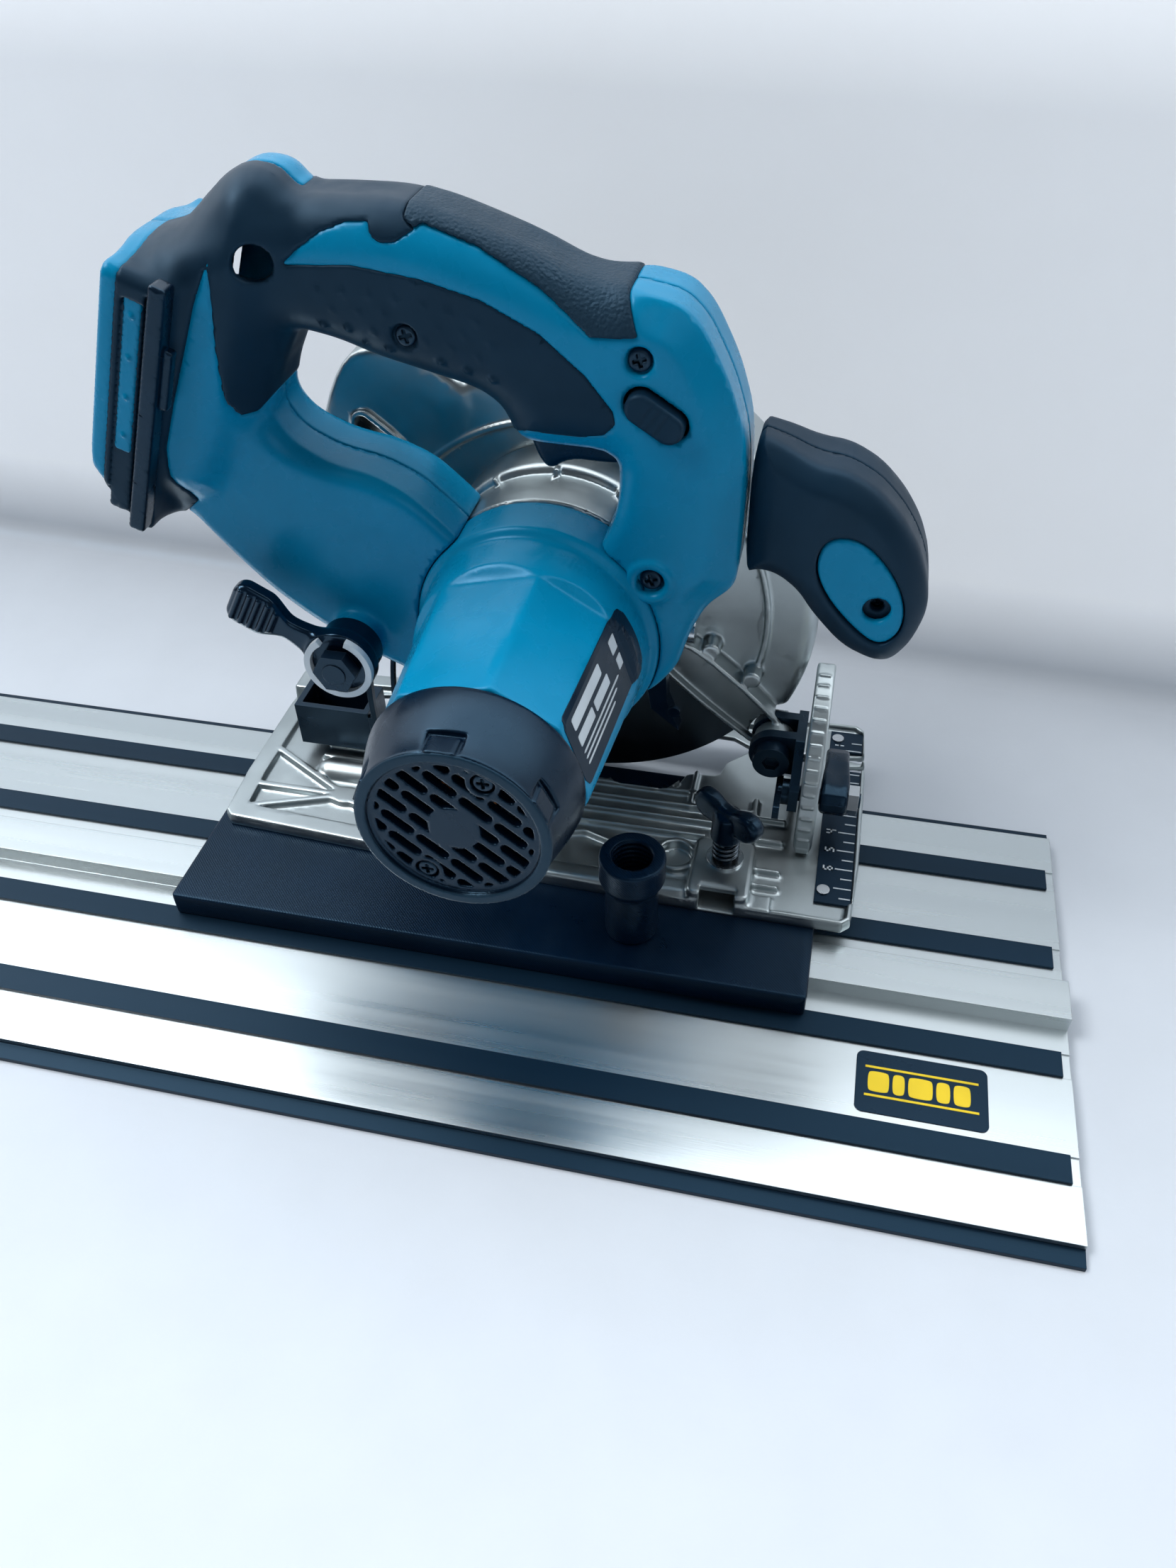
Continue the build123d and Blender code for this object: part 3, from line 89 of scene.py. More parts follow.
class Grid:
    """Sample points over a box, with a margin; off is how far they are from the handle's middle plane."""

    def __init__(self, low, high, step):
        self.step = step * COARSE
        self.low = np.array(low, float) - 3 * self.step
        counts = np.ceil((np.array(high, float) - self.low) / self.step).astype(int) + 4
        axes = [(self.low[i] + self.step * np.arange(counts[i])).astype(np.float32) for i in range(3)]
        self.x, self.y, self.z = np.meshgrid(*axes, indexing="ij", sparse=True)
        self.off = np.abs(self.y - HANDLE_Y)
        self.shape = tuple(counts)


def around(node, step, margin=1.5):
    low, high = node_box(node)
    return Grid(low - margin, high + margin, step)


def union(a, b, blend=0.0):
    """The two shapes together, with a fillet of about blend between them."""
    if not blend:
        return np.minimum(a, b)
    share = np.clip(0.5 + 0.5 * (b - a) / blend, 0, 1)
    return b + (a - b) * share - blend * share * (1 - share)


def common(a, b, blend=0.0):
    return -union(-a, -b, blend)


def cut(a, b, blend=0.0):
    return -union(-a, b, blend)


def meet(*fields):
    """Where all the fields are inside, with sharp edges."""
    return functools.reduce(np.maximum, fields)


def y_radius(g, x, z):
    """Distance from a line along Y."""
    return np.hypot(g.x - x, g.z - z)


def slab(c, low, high):
    return np.abs(c - (low + high) / 2) - (high - low) / 2


def rounded(a, b, radius, radius_b=None):
    """Where both distances are negative, with an elliptical edge where they meet."""
    radius_b = radius if radius_b is None else radius_b
    u = (a + radius) / radius
    v = (b + radius_b) / radius_b
    outside = np.hypot(np.maximum(u, 0), np.maximum(v, 0)) - 1
    size = np.minimum(radius, radius_b)
    return np.where(np.maximum(u, v) > 0, outside * size, np.maximum(a, b))


def ramp(c, start, end):
    t = np.clip((c - start) / (end - start), 0, 1)
    return t * t * (3 - 2 * t)


def soften(points, rounds=3, share=0.25):
    """A closed outline with its corners cut again and again until they're round."""
    points = np.array(points, float)
    for _ in range(rounds):
        after = np.roll(points, -1, axis=0)
        step = (after - points) * share
        points = np.stack([points + step, after - step], 1).reshape(-1, 2)
    return points


def polygon(p, q, points):
    """Signed distance to a closed outline in the plane of p and q."""
    points = np.array(points, float)
    nearest = np.full(np.broadcast(p, q).shape, 1e9, np.float32)
    inside = np.zeros(nearest.shape, bool)
    for (ax, ay), (bx, by) in zip(points, np.roll(points, -1, axis=0)):
        ex, ey = bx - ax, by - ay
        along = np.clip(((p - ax) * ex + (q - ay) * ey) / max(ex * ex + ey * ey, 1e-9), 0, 1)
        nearest = np.minimum(nearest, (p - ax - along * ex) ** 2 + (q - ay - along * ey) ** 2)
        if ay != by:
            inside ^= ((ay > q) != (by > q)) & (p < ax + (q - ay) * ex / ey)
    return np.where(inside, -1, 1) * np.sqrt(nearest)


def capsule(p, q, x0, y0, x1, y1, radius):
    ex, ey = x1 - x0, y1 - y0
    along = np.clip(((p - x0) * ex + (q - y0) * ey) / (ex * ex + ey * ey), 0, 1)
    return np.hypot(p - x0 - along * ex, q - y0 - along * ey) - radius


def y_disc(g, x, z, radius, y0, y1, edge=0.6):
    return rounded(y_radius(g, x, z) - radius, slab(g.y, y0, y1), edge)


def sample(field, places):
    """Field values between the grid points, by trilinear interpolation."""
    low = np.clip(np.floor(places).astype(int), 0, np.array(field.shape) - 2)
    t = places - low
    total = 0
    for corner in range(8):
        step = np.array([corner >> 2 & 1, corner >> 1 & 1, corner & 1])
        weight = np.prod(np.where(step, t, 1 - t), axis=1)
        i, j, k = (low + step).T
        total = total + weight * field[i, j, k]
    return total


def mesh_piece(name, g, field, slot, replaces=None, body="saw_body", look=None):
    """Meshes the zero surface of a field; the piece looks like its slot unless a look is given."""
    band = 3 * g.step
    field = np.clip(np.broadcast_to(field, g.shape), -band, band).astype(np.float32)
    volume = openvdb.FloatGrid(band)
    volume.copyFromArray(field)
    points, triangles, quads = volume.convertToPolygons(0.0, MESH_THINNING)
    mesh = bpy.data.meshes.new(name)
    place = (np.array(points) * g.step + g.low) * MM
    mesh.from_pydata(place.tolist(), [], triangles.tolist() + quads.tolist())
    slopes = []
    for axis in np.eye(3) * 0.7:
        slopes.append(sample(field, points + axis) - sample(field, points - axis))
    normals = np.stack(slopes, 1)
    normals /= np.maximum(np.linalg.norm(normals, axis=1, keepdims=True), 1e-6)
    mesh.shade_smooth()
    mesh.normals_split_custom_set_from_vertices(normals.tolist())
    place_piece(name, mesh, look or LOOKS[slot], body, replaces)


def put(name, data):
    """A new object in the scene."""
    thing = bpy.data.objects.new(name, data)
    bpy.context.scene.collection.objects.link(thing)
    return thing


def place_piece(name, mesh, look, body, replaces):
    piece = put(name, mesh)
    mesh.materials.clear()
    mesh.materials.append(look)
    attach(piece, body)
    if replaces:
        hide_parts(replaces)


# Looks

def add(tree, kind, inputs=None, **settings):
    """Adds a shader node; inputs are numbers or other nodes' sockets."""
    node = tree.nodes.new("ShaderNode" + kind)
    for key, value in settings.items():
        setattr(node, key, value)
    for key, value in (inputs or {}).items():
        if isinstance(value, bpy.types.NodeSocket):
            tree.links.new(value, node.inputs[key])
        else:
            node.inputs[key].default_value = value
    return node


def noise(tree, place, size, detail=3.0, stretch=(1, 1, 1)):
    """Noise with features of about size millimetres, stretched along the frame's axes."""
    scaled = add(tree, "Mapping", {"Vector": place, "Scale": [1 / (size * s) for s in stretch]}).outputs[0]
    return add(tree, "TexNoise", {"Vector": scaled, "Scale": 1.0, "Detail": detail}).outputs["Fac"]


def remap(tree, value, start, end, low, high):
    """Takes start..end to low..high."""
    settings = {"Value": value, "From Min": start, "From Max": end, "To Min": low, "To Max": high}
    return add(tree, "MapRange", settings).outputs[0]


def calculate(tree, operation, a, b):
    return add(tree, "Math", {0: a, 1: b}, operation=operation).outputs[0]


def look(name, colour, roughness, metallic=0.0, grain=(0.4, 0.01), stretch=(1, 1, 1), drift=0.1,
         wear=0.25, worn=None, edge=0.35, pattern=None, gloss=0.35):
    """A surface whose colour drifts and whose edges wear, with grain of (size, height) in millimetres."""
    material = bpy.data.materials.new(name)
    material.use_nodes = True
    tree = material.node_tree
    shader = tree.nodes["Principled BSDF"]
    object_place = add(tree, "TexCoord").outputs["Object"]
    place = add(tree, "VectorMath", {0: object_place, 1: (1 / MM,) * 3}, operation="MULTIPLY").outputs[0]

    clouds = remap(tree, noise(tree, place, 28, 4, stretch), 0.3, 0.7, 1 - drift, 1 + drift)
    # A colour mix has its factor at input 0, its two colours at 6 and 7, and its result at output 2
    tint = add(tree, "Mix", {0: 1.0, 6: (*colour, 1), 7: clouds}, data_type="RGBA", blend_type="MULTIPLY")

    round_normal = add(tree, "Bevel", {"Radius": edge * MM}, samples=4).outputs[0]
    true_normal = add(tree, "NewGeometry").outputs["Normal"]
    turned_away = add(tree, "VectorMath", {0: round_normal, 1: true_normal}, operation="DOT_PRODUCT")
    facing = turned_away.outputs["Value"]
    patches = remap(tree, noise(tree, place, 3.5, 3), 0.3, 0.7, 0.0, 1.0)
    edges = remap(tree, facing, 0.985, 0.86, 0.0, wear)
    worn_share = calculate(tree, "MULTIPLY", edges, patches)
    worn = worn or tuple(min(1.0, 0.04 + 2.2 * c) for c in colour)
    mixed = add(tree, "Mix", {0: worn_share, 6: tint.outputs[2], 7: (*worn, 1)}, data_type="RGBA")
    tree.links.new(mixed.outputs[2], shader.inputs["Base Color"])

    smudges = remap(tree, noise(tree, place, 11, 5, stretch), 0.3, 0.7, roughness - 0.06, roughness + 0.08)
    tree.links.new(smudges, shader.inputs["Roughness"])
    height = noise(tree, place, grain[0], 2, stretch)
    if pattern:
        height = pattern(tree, place, height)
    settings = {"Strength": 1.0, "Distance": grain[1] * MM, "Height": height, "Normal": round_normal}
    bump = add(tree, "Bump", settings)
    tree.links.new(bump.outputs[0], shader.inputs["Normal"])
    shader.inputs["Metallic"].default_value = metallic
    if not metallic:
        shader.inputs["Specular IOR Level"].default_value = gloss
        shader.inputs["Specular Tint"].default_value = (0.35, 0.68, 1.0, 1)
    return material


def print_layers(tree, place, height):
    """Fine diagonal tool-path lines of a printed plate."""
    settings = {"Vector": place, "Scale": 0.55, "Distortion": 0.3}
    wave = add(tree, "TexWave", settings, bands_direction="DIAGONAL")
    return calculate(tree, "ADD", wave.outputs["Fac"], height)


def turned(tree, place, height):
    """Circular grinding marks about the blade axis."""
    centred = add(tree, "Mapping", {"Vector": place, "Location": (-SPINDLE_X, 0, -SPINDLE_Z)}).outputs[0]
    settings = {"Vector": centred, "Scale": 0.8, "Distortion": 1.5, "Detail": 3.0}
    wave = add(tree, "TexWave", settings, wave_type="RINGS", rings_direction="Y")
    return calculate(tree, "ADD", wave.outputs["Fac"], height)


def pebbles(tree, place, height):
    """Leathery cells of a grained rubber grip."""
    settings = {"Vector": place, "Scale": 0.95, "Smoothness": 0.6}
    cells = add(tree, "TexVoronoi", settings, feature="SMOOTH_F1")
    return calculate(tree, "SUBTRACT", height, cells.outputs["Distance"])


LOOKS = {}


def finish(name, *values, **settings):
    """Makes the look of one of the record's material slots."""
    LOOKS[name] = look(name, *values, **settings)


ALONG = (60, 1, 1)
finish("rail_aluminium", (0.60, 0.65, 0.66), 0.27, 1.0, (0.35, 0.006), ALONG, 0.05, 0.5)
finish("black_strip", (0.002, 0.010, 0.022), 0.42, 0.0, (0.25, 0.012), ALONG, 0.2, 0.3)
finish("label_dark", (0.003, 0.010, 0.022), 0.3, 0.0, (1.2, 0.004))
finish("printed_black", (0.0008, 0.006, 0.018), 0.33, 0.0, (0.5, 0.03), drift=0.25,
       pattern=print_layers)
finish("cast_silver", (0.45, 0.50, 0.51), 0.34, 1.0, (0.6, 0.022), drift=0.1, wear=0.6,
       worn=(0.74, 0.77, 0.77))
finish("scale_black", (0.003, 0.010, 0.022), 0.4, 0.0, (0.4, 0.006))
finish("zinc_steel", (0.55, 0.58, 0.60), 0.25, 1.0, (0.5, 0.004))
finish("black_steel", (0.002, 0.007, 0.016), 0.3, 0.0, (0.3, 0.012), wear=0.5,
       worn=(0.12, 0.15, 0.18), gloss=0.6)
finish("spring_steel", (0.10, 0.12, 0.14), 0.3, 1.0, (0.3, 0.004))
finish("black_plastic", (0.0008, 0.005, 0.014), 0.27, 0.0, (0.35, 0.014), drift=0.2, gloss=0.45)
finish("teal_plastic", (0.0, 0.215, 0.40), 0.27, 0.0, (0.4, 0.008), drift=0.06, wear=0.2,
       worn=(0.10, 0.46, 0.62), edge=0.5)
finish("black_rubber", (0.004, 0.016, 0.032), 0.46, 0.0, (0.3, 0.012), drift=0.15)
finish("blade_steel", (0.30, 0.34, 0.37), 0.3, 1.0, (0.4, 0.008), pattern=turned)
finish("ground_steel", (0.5, 0.53, 0.55), 0.2, 1.0, (0.3, 0.004))
finish("lamination", (0.16, 0.17, 0.18), 0.45, 0.8, (0.25, 0.01))
finish("copper", (0.62, 0.25, 0.10), 0.3, 1.0, (0.4, 0.02))
finish("carbon", (0.01, 0.012, 0.016), 0.6, 0.0, (0.2, 0.02))
finish("white_plastic", (0.66, 0.72, 0.76), 0.35, 0.0, (0.4, 0.006))
finish("lamp_black", (0.0006, 0.004, 0.012), 0.2, 0.0, (0.5, 0.004), gloss=0.6)
GRIP_GRAIN = look("grip_grain", (0.010, 0.026, 0.044), 0.5, 0.0, (0.9, 0.22), drift=0.15, pattern=pebbles)
# The end cap's rim is black plastic; this lighter black is a painted highlight on it.
RIM_PAINTED_HIGHLIGHT = look("rim_painted_highlight", (0.010, 0.028, 0.048), 0.45, 0.0, (0.3, 0.01))
YELLOW = look("label_yellow", (0.85, 0.60, 0.01), 0.35, 0.0, (0.8, 0.004))
PALE = look("print_pale", (0.60, 0.66, 0.70), 0.4, 0.0, (0.8, 0.004))

# The lower guard gets a darker steel than its slot's: painted shade for the deep shadow under the blade case
# where it hangs.
GUARD_PAINTED_SHADE = look("guard_steel_painted_shade", (0.10, 0.12, 0.14), 0.34, 1.0, (0.5, 0.01), wear=0.3)
for part in frame["record"]["subparts"]:
    node = frame["nodes"][part["node"]]
    node.data.materials.clear()
    steel = part["node"] == "lower_guard"
    node.data.materials.append(GUARD_PAINTED_SHADE if steel else LOOKS[part["material_slot"]])


# Handle, battery mount and the soft parts on them

TOP_EDGE = [(-63, 254), (-58, 249), (-47, 249.5), (-28, 249.5), (-14, 246.5), (8, 239), (24, 231.5),
            (38, 231),
            (51, 228.5), (58, 222), (66, 207), (71, 192)]
FRONT_EDGE = [(72.5, 176), (72, 147), (70.5, 142), (63, 135), (58, 124), (55, 112), (48, 102)]
LOWER_EDGE = [(36, 92), (8, 82), (-28, 92), (-52, 102), (-66, 110), (-75, 116), (-86, 125), (-97, 137),
              (-109, 152)]
REAR_EDGE = [(-113, 168), (-108, 190), (-96, 222), (-84, 243), (-72, 254)]
OPENING_TOP = [(-62, 213.5), (-49, 211), (-38, 207), (-24, 203.5), (-8, 199.5), (-1, 195), (3, 187),
               (8, 184.5)]
OPENING_FRONT = [(34, 184), (35, 172), (33, 161), (27, 150)]
OPENING_LOW = [(4, 146), (-14, 148), (-22, 156), (-32, 165), (-44, 170.5), (-58, 173), (-70, 179),
               (-75, 188),
               (-71, 199), (-66, 208)]
# Above this height the handle is a rounded bar; below it the body has flat sides
BAR_TOP = 200

CRESCENT_TOP = [(-59, 234), (-54, 238), (-47, 242.5), (-40, 245), (-34, 245.5), (-33, 242.5), (-30, 240.5),
                (-26, 241), (-19, 245), (-4, 240), (13, 231), (22, 224), (27, 219.5)]
CRESCENT_LOW = [(34, 199), (26, 209), (13, 220), (-3, 228), (-20, 232.5), (-39, 235)]
PAD_END = [(34.5, 195), (31, 191.5), (24, 190), (8, 190.5), (2, 188)]
LEG_END = [(-68, 203), (-72, 194), (-77, 189), (-81, 189), (-83, 195), (-81, 210), (-78.5, 225), (-77, 236)]
SHOULDER = [(-99, 235), (-86, 238), (-72, 240), (-66, 236), (-78, 208), (-92, 170), (-108, 162), (-118, 185)]
HOOD = [(-129, 176), (-106.5, 235), (-103, 237), (-91, 238), (-86, 240), (-77, 248), (-71, 251.5),
        (-65, 250),
        (-60, 240), (-78, 208), (-92, 170), (-108, 162)]
MOUNT_FOOT = [(-130, 175), (-122, 158), (-115, 152), (-100, 156), (-88, 190), (-60, 270), (-130, 270)]
SKIN_SEAM = HANDLE_Y - 1
WEDGE = [(-84, 224), (-91, 209), (-98, 194), (-104, 180), (-106, 170), (-103, 158)]
REAR_LEAN = radians(20.7)
REAR_TOP = (-106.0, 237.0)
PLATE_RIM = 5.0
HEAD_SCREW = (45.5, 144.5)
SCREW_BORES = [(-66, 235, 5.2, 14), (41, 214, 4.0, 2.4), (*HEAD_SCREW, 4.4, 2.6), (-26, 216, 4.0, 2.0)]


def rear_axes(g):
    """How far a point is up along the leaning rear face, and how far in front of it."""
    dx, dz = g.x - REAR_TOP[0], g.z - REAR_TOP[1]
    up = dx * sin(REAR_LEAN) + dz * cos(REAR_LEAN)
    ahead = dx * cos(REAR_LEAN) - dz * sin(REAR_LEAN)
    return up, ahead


def body_field(g):
    """Bar, arms and head of the handle, the same on both sides of its middle plane."""
    side = g.off - HALF
    outline = TOP_EDGE + FRONT_EDGE + LOWER_EDGE + REAR_EDGE
    outer = polygon(g.x, g.z, soften(outline, 2, 0.2))
    opening = polygon(g.x, g.z, soften(OPENING_TOP + OPENING_FRONT + OPENING_LOW, 2, 0.2))
    ring = cut(outer, opening)
    softness = ramp(g.z, BAR_TOP - 40, BAR_TOP) * (1 - ramp(g.x, 30, 50))
    radius = 5 + 8.5 * softness
    body = rounded(ring, side, radius, 4 + 7.5 * softness)
    facet = 0.50 * outer + 0.866 * side + 4.6
    head = ramp(g.x, 34, 46) * ramp(g.z, 120, 150)
    return body * (1 - head) + common(body, facet, 0.8) * head


def mount_field(g):
    """Block that the battery slides on: a plate, a hood that leans over to the bar, and a foot."""
    up, ahead = rear_axes(g)
    wide = rounded(g.off - MOUNT_HALF, slab(up, -88, 0), 4)
    plate = rounded(wide, meet(-ahead, ahead - 20 - 2 * ramp(up, -60, -86)), 2.0)
    foot = polygon(g.x, g.z, MOUNT_FOOT)
    hood = rounded(polygon(g.x, g.z, soften(HOOD, 2)), g.off - 20, 13)
    shoulder = rounded(polygon(g.x, g.z, soften(SHOULDER, 2)), g.off - 25, 7)
    return union(union(common(plate, foot, 4), shoulder, 6), hood, 9)


def rim_depth(g):
    """Distance to the teal: the rear rim, and all that's past the seam over the mount."""
    over_mount = 230 - g.z + 0.4 * (g.x - REAR_TOP[0])
    return union(rear_axes(g)[1] - PLATE_RIM, meet(SKIN_SEAM - g.y, over_mount))


def handle_field(g):
    body = union(body_field(g), mount_field(g), 11)
    boss = y_disc(g, CLAMP_X, CLAMP_Z, 9, NEAR - 6, HANDLE_Y + HALF + 2, 1.5)
    body = union(body, boss, 3)
    collar = y_radius(g, MOTOR_X, MOTOR_Z) - COLLAR - 0.15
    return cut(body, collar, 0.6)


def black_zone(g):
    """Where the handle is covered in black, seen from the side."""
    above = [(-92, 275), (37, 245), (37, 231.5), (41, 220)]
    cover = above + CRESCENT_TOP[::-1] + CRESCENT_LOW[::-1] + PAD_END
    rear = [(-10, 180), (-60, 200)] + LEG_END + WEDGE + [(-115, 148), (-140, 160)]
    return polygon(g.x, g.z, cover + rear)


def handle_pieces():
    g = Grid((-129, HANDLE_Y - MOUNT_HALF - 5, 85), (76, HANDLE_Y + MOUNT_HALF + 5, 262), 0.85)
    outside = handle_field(g)
    for x, z, radius, depth in SCREW_BORES:
        outside = cut(outside, y_disc(g, x, z, radius, NEAR - 8, NEAR + depth), 0.8)
    ring = np.abs(y_radius(g, *HEAD_SCREW) - 6.2) - 1.4
    outside = union(outside, rounded(ring, slab(g.y, NEAR - 1.0, NEAR + 2), 0.8), 0.8)
    button = meet(capsule(g.x, g.z, 41.7, 201.7, 50.3, 196.3, 5.2), slab(g.y, NEAR - 8, NEAR + 9))
    outside = cut(outside, button, 0.8)
    trigger = meet(slab(g.x, 1.8, 36.6), slab(g.z, 168, 199), g.off - 7.6)
    outside = cut(outside, trigger, 0.3)

    up, ahead = rear_axes(g)
    across = g.off - MOUNT_HALF
    recess = rounded(rounded(slab(ahead, 6.6, 14.2), slab(up, -80, -7), 1.5), -2.0 - across, 0.3)
    outside = cut(outside, recess, 0.5)
    pad = rounded(slab(ahead, 7.4, 13.2), slab(up, -78.5, -9), 1.0)
    outside = union(outside, rounded(pad, slab(across, -4, -0.9), 0.4), 0.2)
    gap = rounded(rounded(slab(ahead, 13.6, 16.4), slab(up, -83, -4), 0.6), -4.5 - across, 0.3)
    outside = cut(outside, gap, 0.5)
    rim = rim_depth(g)
    zone = meet(black_zone(g), -rim)
    whole = handle_field(g)
    hollow = whole + 3.2
    bolt = y_radius(g, CLAMP_X, CLAMP_Z) - 4.2
    under = outside + 0.9 * ramp(-zone, -0.2, 0.9)
    teal = meet(under, -hollow, -bolt)
    for name, half in (("handle_near", g.y - HANDLE_Y), ("handle_far", HANDLE_Y - g.y)):
        mesh_piece(name + "_shell", g, common(teal, half + 0.12, 0.3), "teal_plastic", name)
    grain_edge = g.x + 22 - 4 * np.sin((g.z - 236) * 0.35)
    top = [(-24, 275), (37, 245), (37, 231.5), (41, 220)] + CRESCENT_TOP[:7:-1] + [(-24, 243)]
    grained = meet(polygon(g.x, g.z, top), -grain_edge)
    skin = meet(outside - 0.3, -(whole + 2.4))
    cover = common(common(skin, zone, 0.5), -(grained - 0.2), 0.3)
    dots = meet(dot_field(g), whole - 1.4)
    mesh_piece("handle_cover", g, union(cover, dots, 0.5), "black_rubber", "handle_overmould")
    grip = meet(whole - 0.7, -(whole + 2.4), grained)
    mesh_piece("handle_top_grip", g, common(grip, zone + 0.2, 0.8), "black_rubber", look=GRIP_GRAIN)


def dot_field(g):
    """Raised dots of the side pads, in staggered rows that follow the bar."""
    dots = np.float32(1e3)
    for row in range(4):
        for column in range(7):
            x = -50 + 7.6 * column + (3.8 if row % 2 else 0)
            z = 227.5 - 4.9 * row - 0.0035 * (x + 45) ** 2
            if hypot(x + 26, z - 216) < 6:
                continue
            for y in (NEAR + 0.4, HANDLE_Y + HALF - 0.4):
                ball = np.sqrt((g.x - x) ** 2 + ((g.y - y) * 1.2) ** 2 + (g.z - z) ** 2) - 1.25
                dots = union(dots, ball)
    return dots


# Front grip

GRIP_TOP = [(73.2, 192), (82, 189.5), (92, 185), (101, 184), (110.5, 179), (118.5, 171), (124.5, 162),
            (128.5, 152)]
GRIP_FRONT = [(130.5, 141), (127.5, 129), (122.5, 121.5), (116.5, 120.5)]
GRIP_UNDER = [(106, 125), (96, 135.5), (90.5, 143), (84, 147), (78, 147.5), (73.2, 145)]
INSERT = [(97, 165), (94.5, 155), (99, 145), (108, 135), (117, 128.5), (123.5, 134), (123.5, 145),
          (117, 157), (107, 166)]
INSERT_BORE = (115, 142)


def front_grip():
    g = Grid((72, HANDLE_Y - 18, 118), (132, HANDLE_Y + 18, 194), 0.6)
    side = g.off - 16 + 3.5 * (1 - ramp(g.x, 74, 96))
    outer = polygon(g.x, g.z, soften(GRIP_TOP + GRIP_FRONT + GRIP_UNDER, 2, 0.22))
    body = rounded(outer, side, 8.5, 7.5)
    crown = 0.62 * outer + 0.78 * side + 3.2
    body = common(body, crown, 1.2)
    body = meet(body, 73.3 - g.x)
    panel = polygon(g.x, g.z, soften(INSERT, 2, 0.25))
    body = cut(body, meet(panel, 12.5 - g.off), 0.7)
    bore = y_radius(g, *INSERT_BORE)
    body = cut(body, bore - 2.0)
    hollow = meet(outer + 3, g.off - 9.5)
    body = meet(body, -hollow)
    for name, half in (("front_grip_near", g.y - HANDLE_Y), ("front_grip_far", HANDLE_Y - g.y)):
        mesh_piece(name + "_shell", g, common(body, half + 0.08, 0.3), "black_rubber", name)
    insert = rounded(panel + 0.35, meet(12.7 - g.off, g.off - 15.4), 1.0)
    insert = cut(insert, bore - 4.2, 0.8)
    mesh_piece("front_grip_inserts", g, insert, "teal_plastic", "grip_inserts")


# Motor

FLATS = ((152, 0.93), (104, 0.905), (59, 0.935), (18, 0.92), (-30, 0.93), (-80, 0.93), (-128, 0.93),
         (-170, 0.94))
LABEL_ANGLE, LABEL_HALF, LABEL_ENDS = 20.0, 12.0, (-40.0, 17.0)


def barrel(g):
    """Tapered motor casing with flats, behind a round collar."""
    dx, dz = g.x - MOTOR_X, g.z - MOTOR_Z
    radius = 33.2 + (38.2 - 33.2) * (g.y - CAP_JOINT) / (28 - CAP_JOINT)
    body = np.hypot(dx, dz) - union(radius, 38.2)
    lift = 0.12 * ramp(g.y, 8, 15)
    for angle, share in FLATS:
        turn = radians(angle)
        flat = dx * cos(turn) + dz * sin(turn) - radius * (share + lift)
        body = common(body, flat, 0.7)
    body = meet(body, g.y - 30)
    collar = rounded(np.hypot(dx, dz) - COLLAR + 0.1, slab(g.y, 27, HOUSING_END), 2.0)
    body = union(body, collar, 2.5)
    return common(body, CAP_JOINT - g.y, 0.8)


def motor_casing():
    g = around("motor_housing", 0.7)
    outside = barrel(g)
    r = y_radius(g, MOTOR_X, MOTOR_Z)
    hollow = union(meet(r - 25, g.y - 18.5), meet(r - 36.5, 18 - g.y), 1)
    mesh_piece("motor_casing", g, meet(outside, -hollow), "teal_plastic", "motor_housing")
    rating_label()


class Points:
    """Loose sample points that a field can be worked out on."""

    def __init__(self, x, y, z):
        self.x, self.y, self.z = x, y, z


def wrapped(name, across_ends, ends, corner, lift, look):
    """A thin sheet with round corners that lies on the motor casing at the label's angle."""
    turn = radians(LABEL_ANGLE)
    y = np.linspace(*ends, 41)
    near_end = np.clip(corner - union(y - ends[0], ends[1] - y), 0, corner)
    half = (across_ends[1] - across_ends[0]) / 2 - corner + np.sqrt(corner ** 2 - near_end ** 2)
    across = (across_ends[0] + across_ends[1]) / 2 + half[:, None] * np.linspace(-1, 1, 15)[None, :]
    y = np.repeat(y[:, None], 15, 1)
    low, high = np.full(y.shape, 15.0), np.full(y.shape, 45.0)
    for _ in range(18):
        reach = (low + high) / 2
        x, z = sheet_place(reach, across, turn)
        inside = barrel(Points(x, y, z)) < 0
        low, high = np.where(inside, reach, low), np.where(inside, high, reach)
    points = []
    for level in (lift, -0.4):
        x, z = sheet_place(low + level, across, turn)
        points += np.stack([x, y, z], 2).reshape(-1, 3).tolist()
    count = y.size
    index = np.arange(count).reshape(y.shape)
    corners = (index[:-1, :-1], index[:-1, 1:], index[1:, 1:], index[1:, :-1])
    cells = np.stack(corners, 2).reshape(-1, 4)
    faces = np.stack([cells, count + cells[:, ::-1]], 1).reshape(-1, 4).tolist()
    border = (index[0], index[1:, -1], index[-1, -2::-1], index[-2:0:-1, 0])
    loop = np.concatenate(border).tolist()
    faces += [[b, a, count + a, count + b] for a, b in zip(loop, loop[1:] + loop[:1])]
    mesh = bpy.data.meshes.new(name)
    mesh.from_pydata((np.array(points) * MM).tolist(), [], faces)
    place_piece(name, mesh, look, "saw_body", None)


def sheet_place(reach, across, turn):
    """A point that's reach out from the motor's axis at angle turn, and across from there."""
    x = MOTOR_X + reach * cos(turn) - across * sin(turn)
    z = MOTOR_Z + reach * sin(turn) + across * cos(turn)
    return x, z


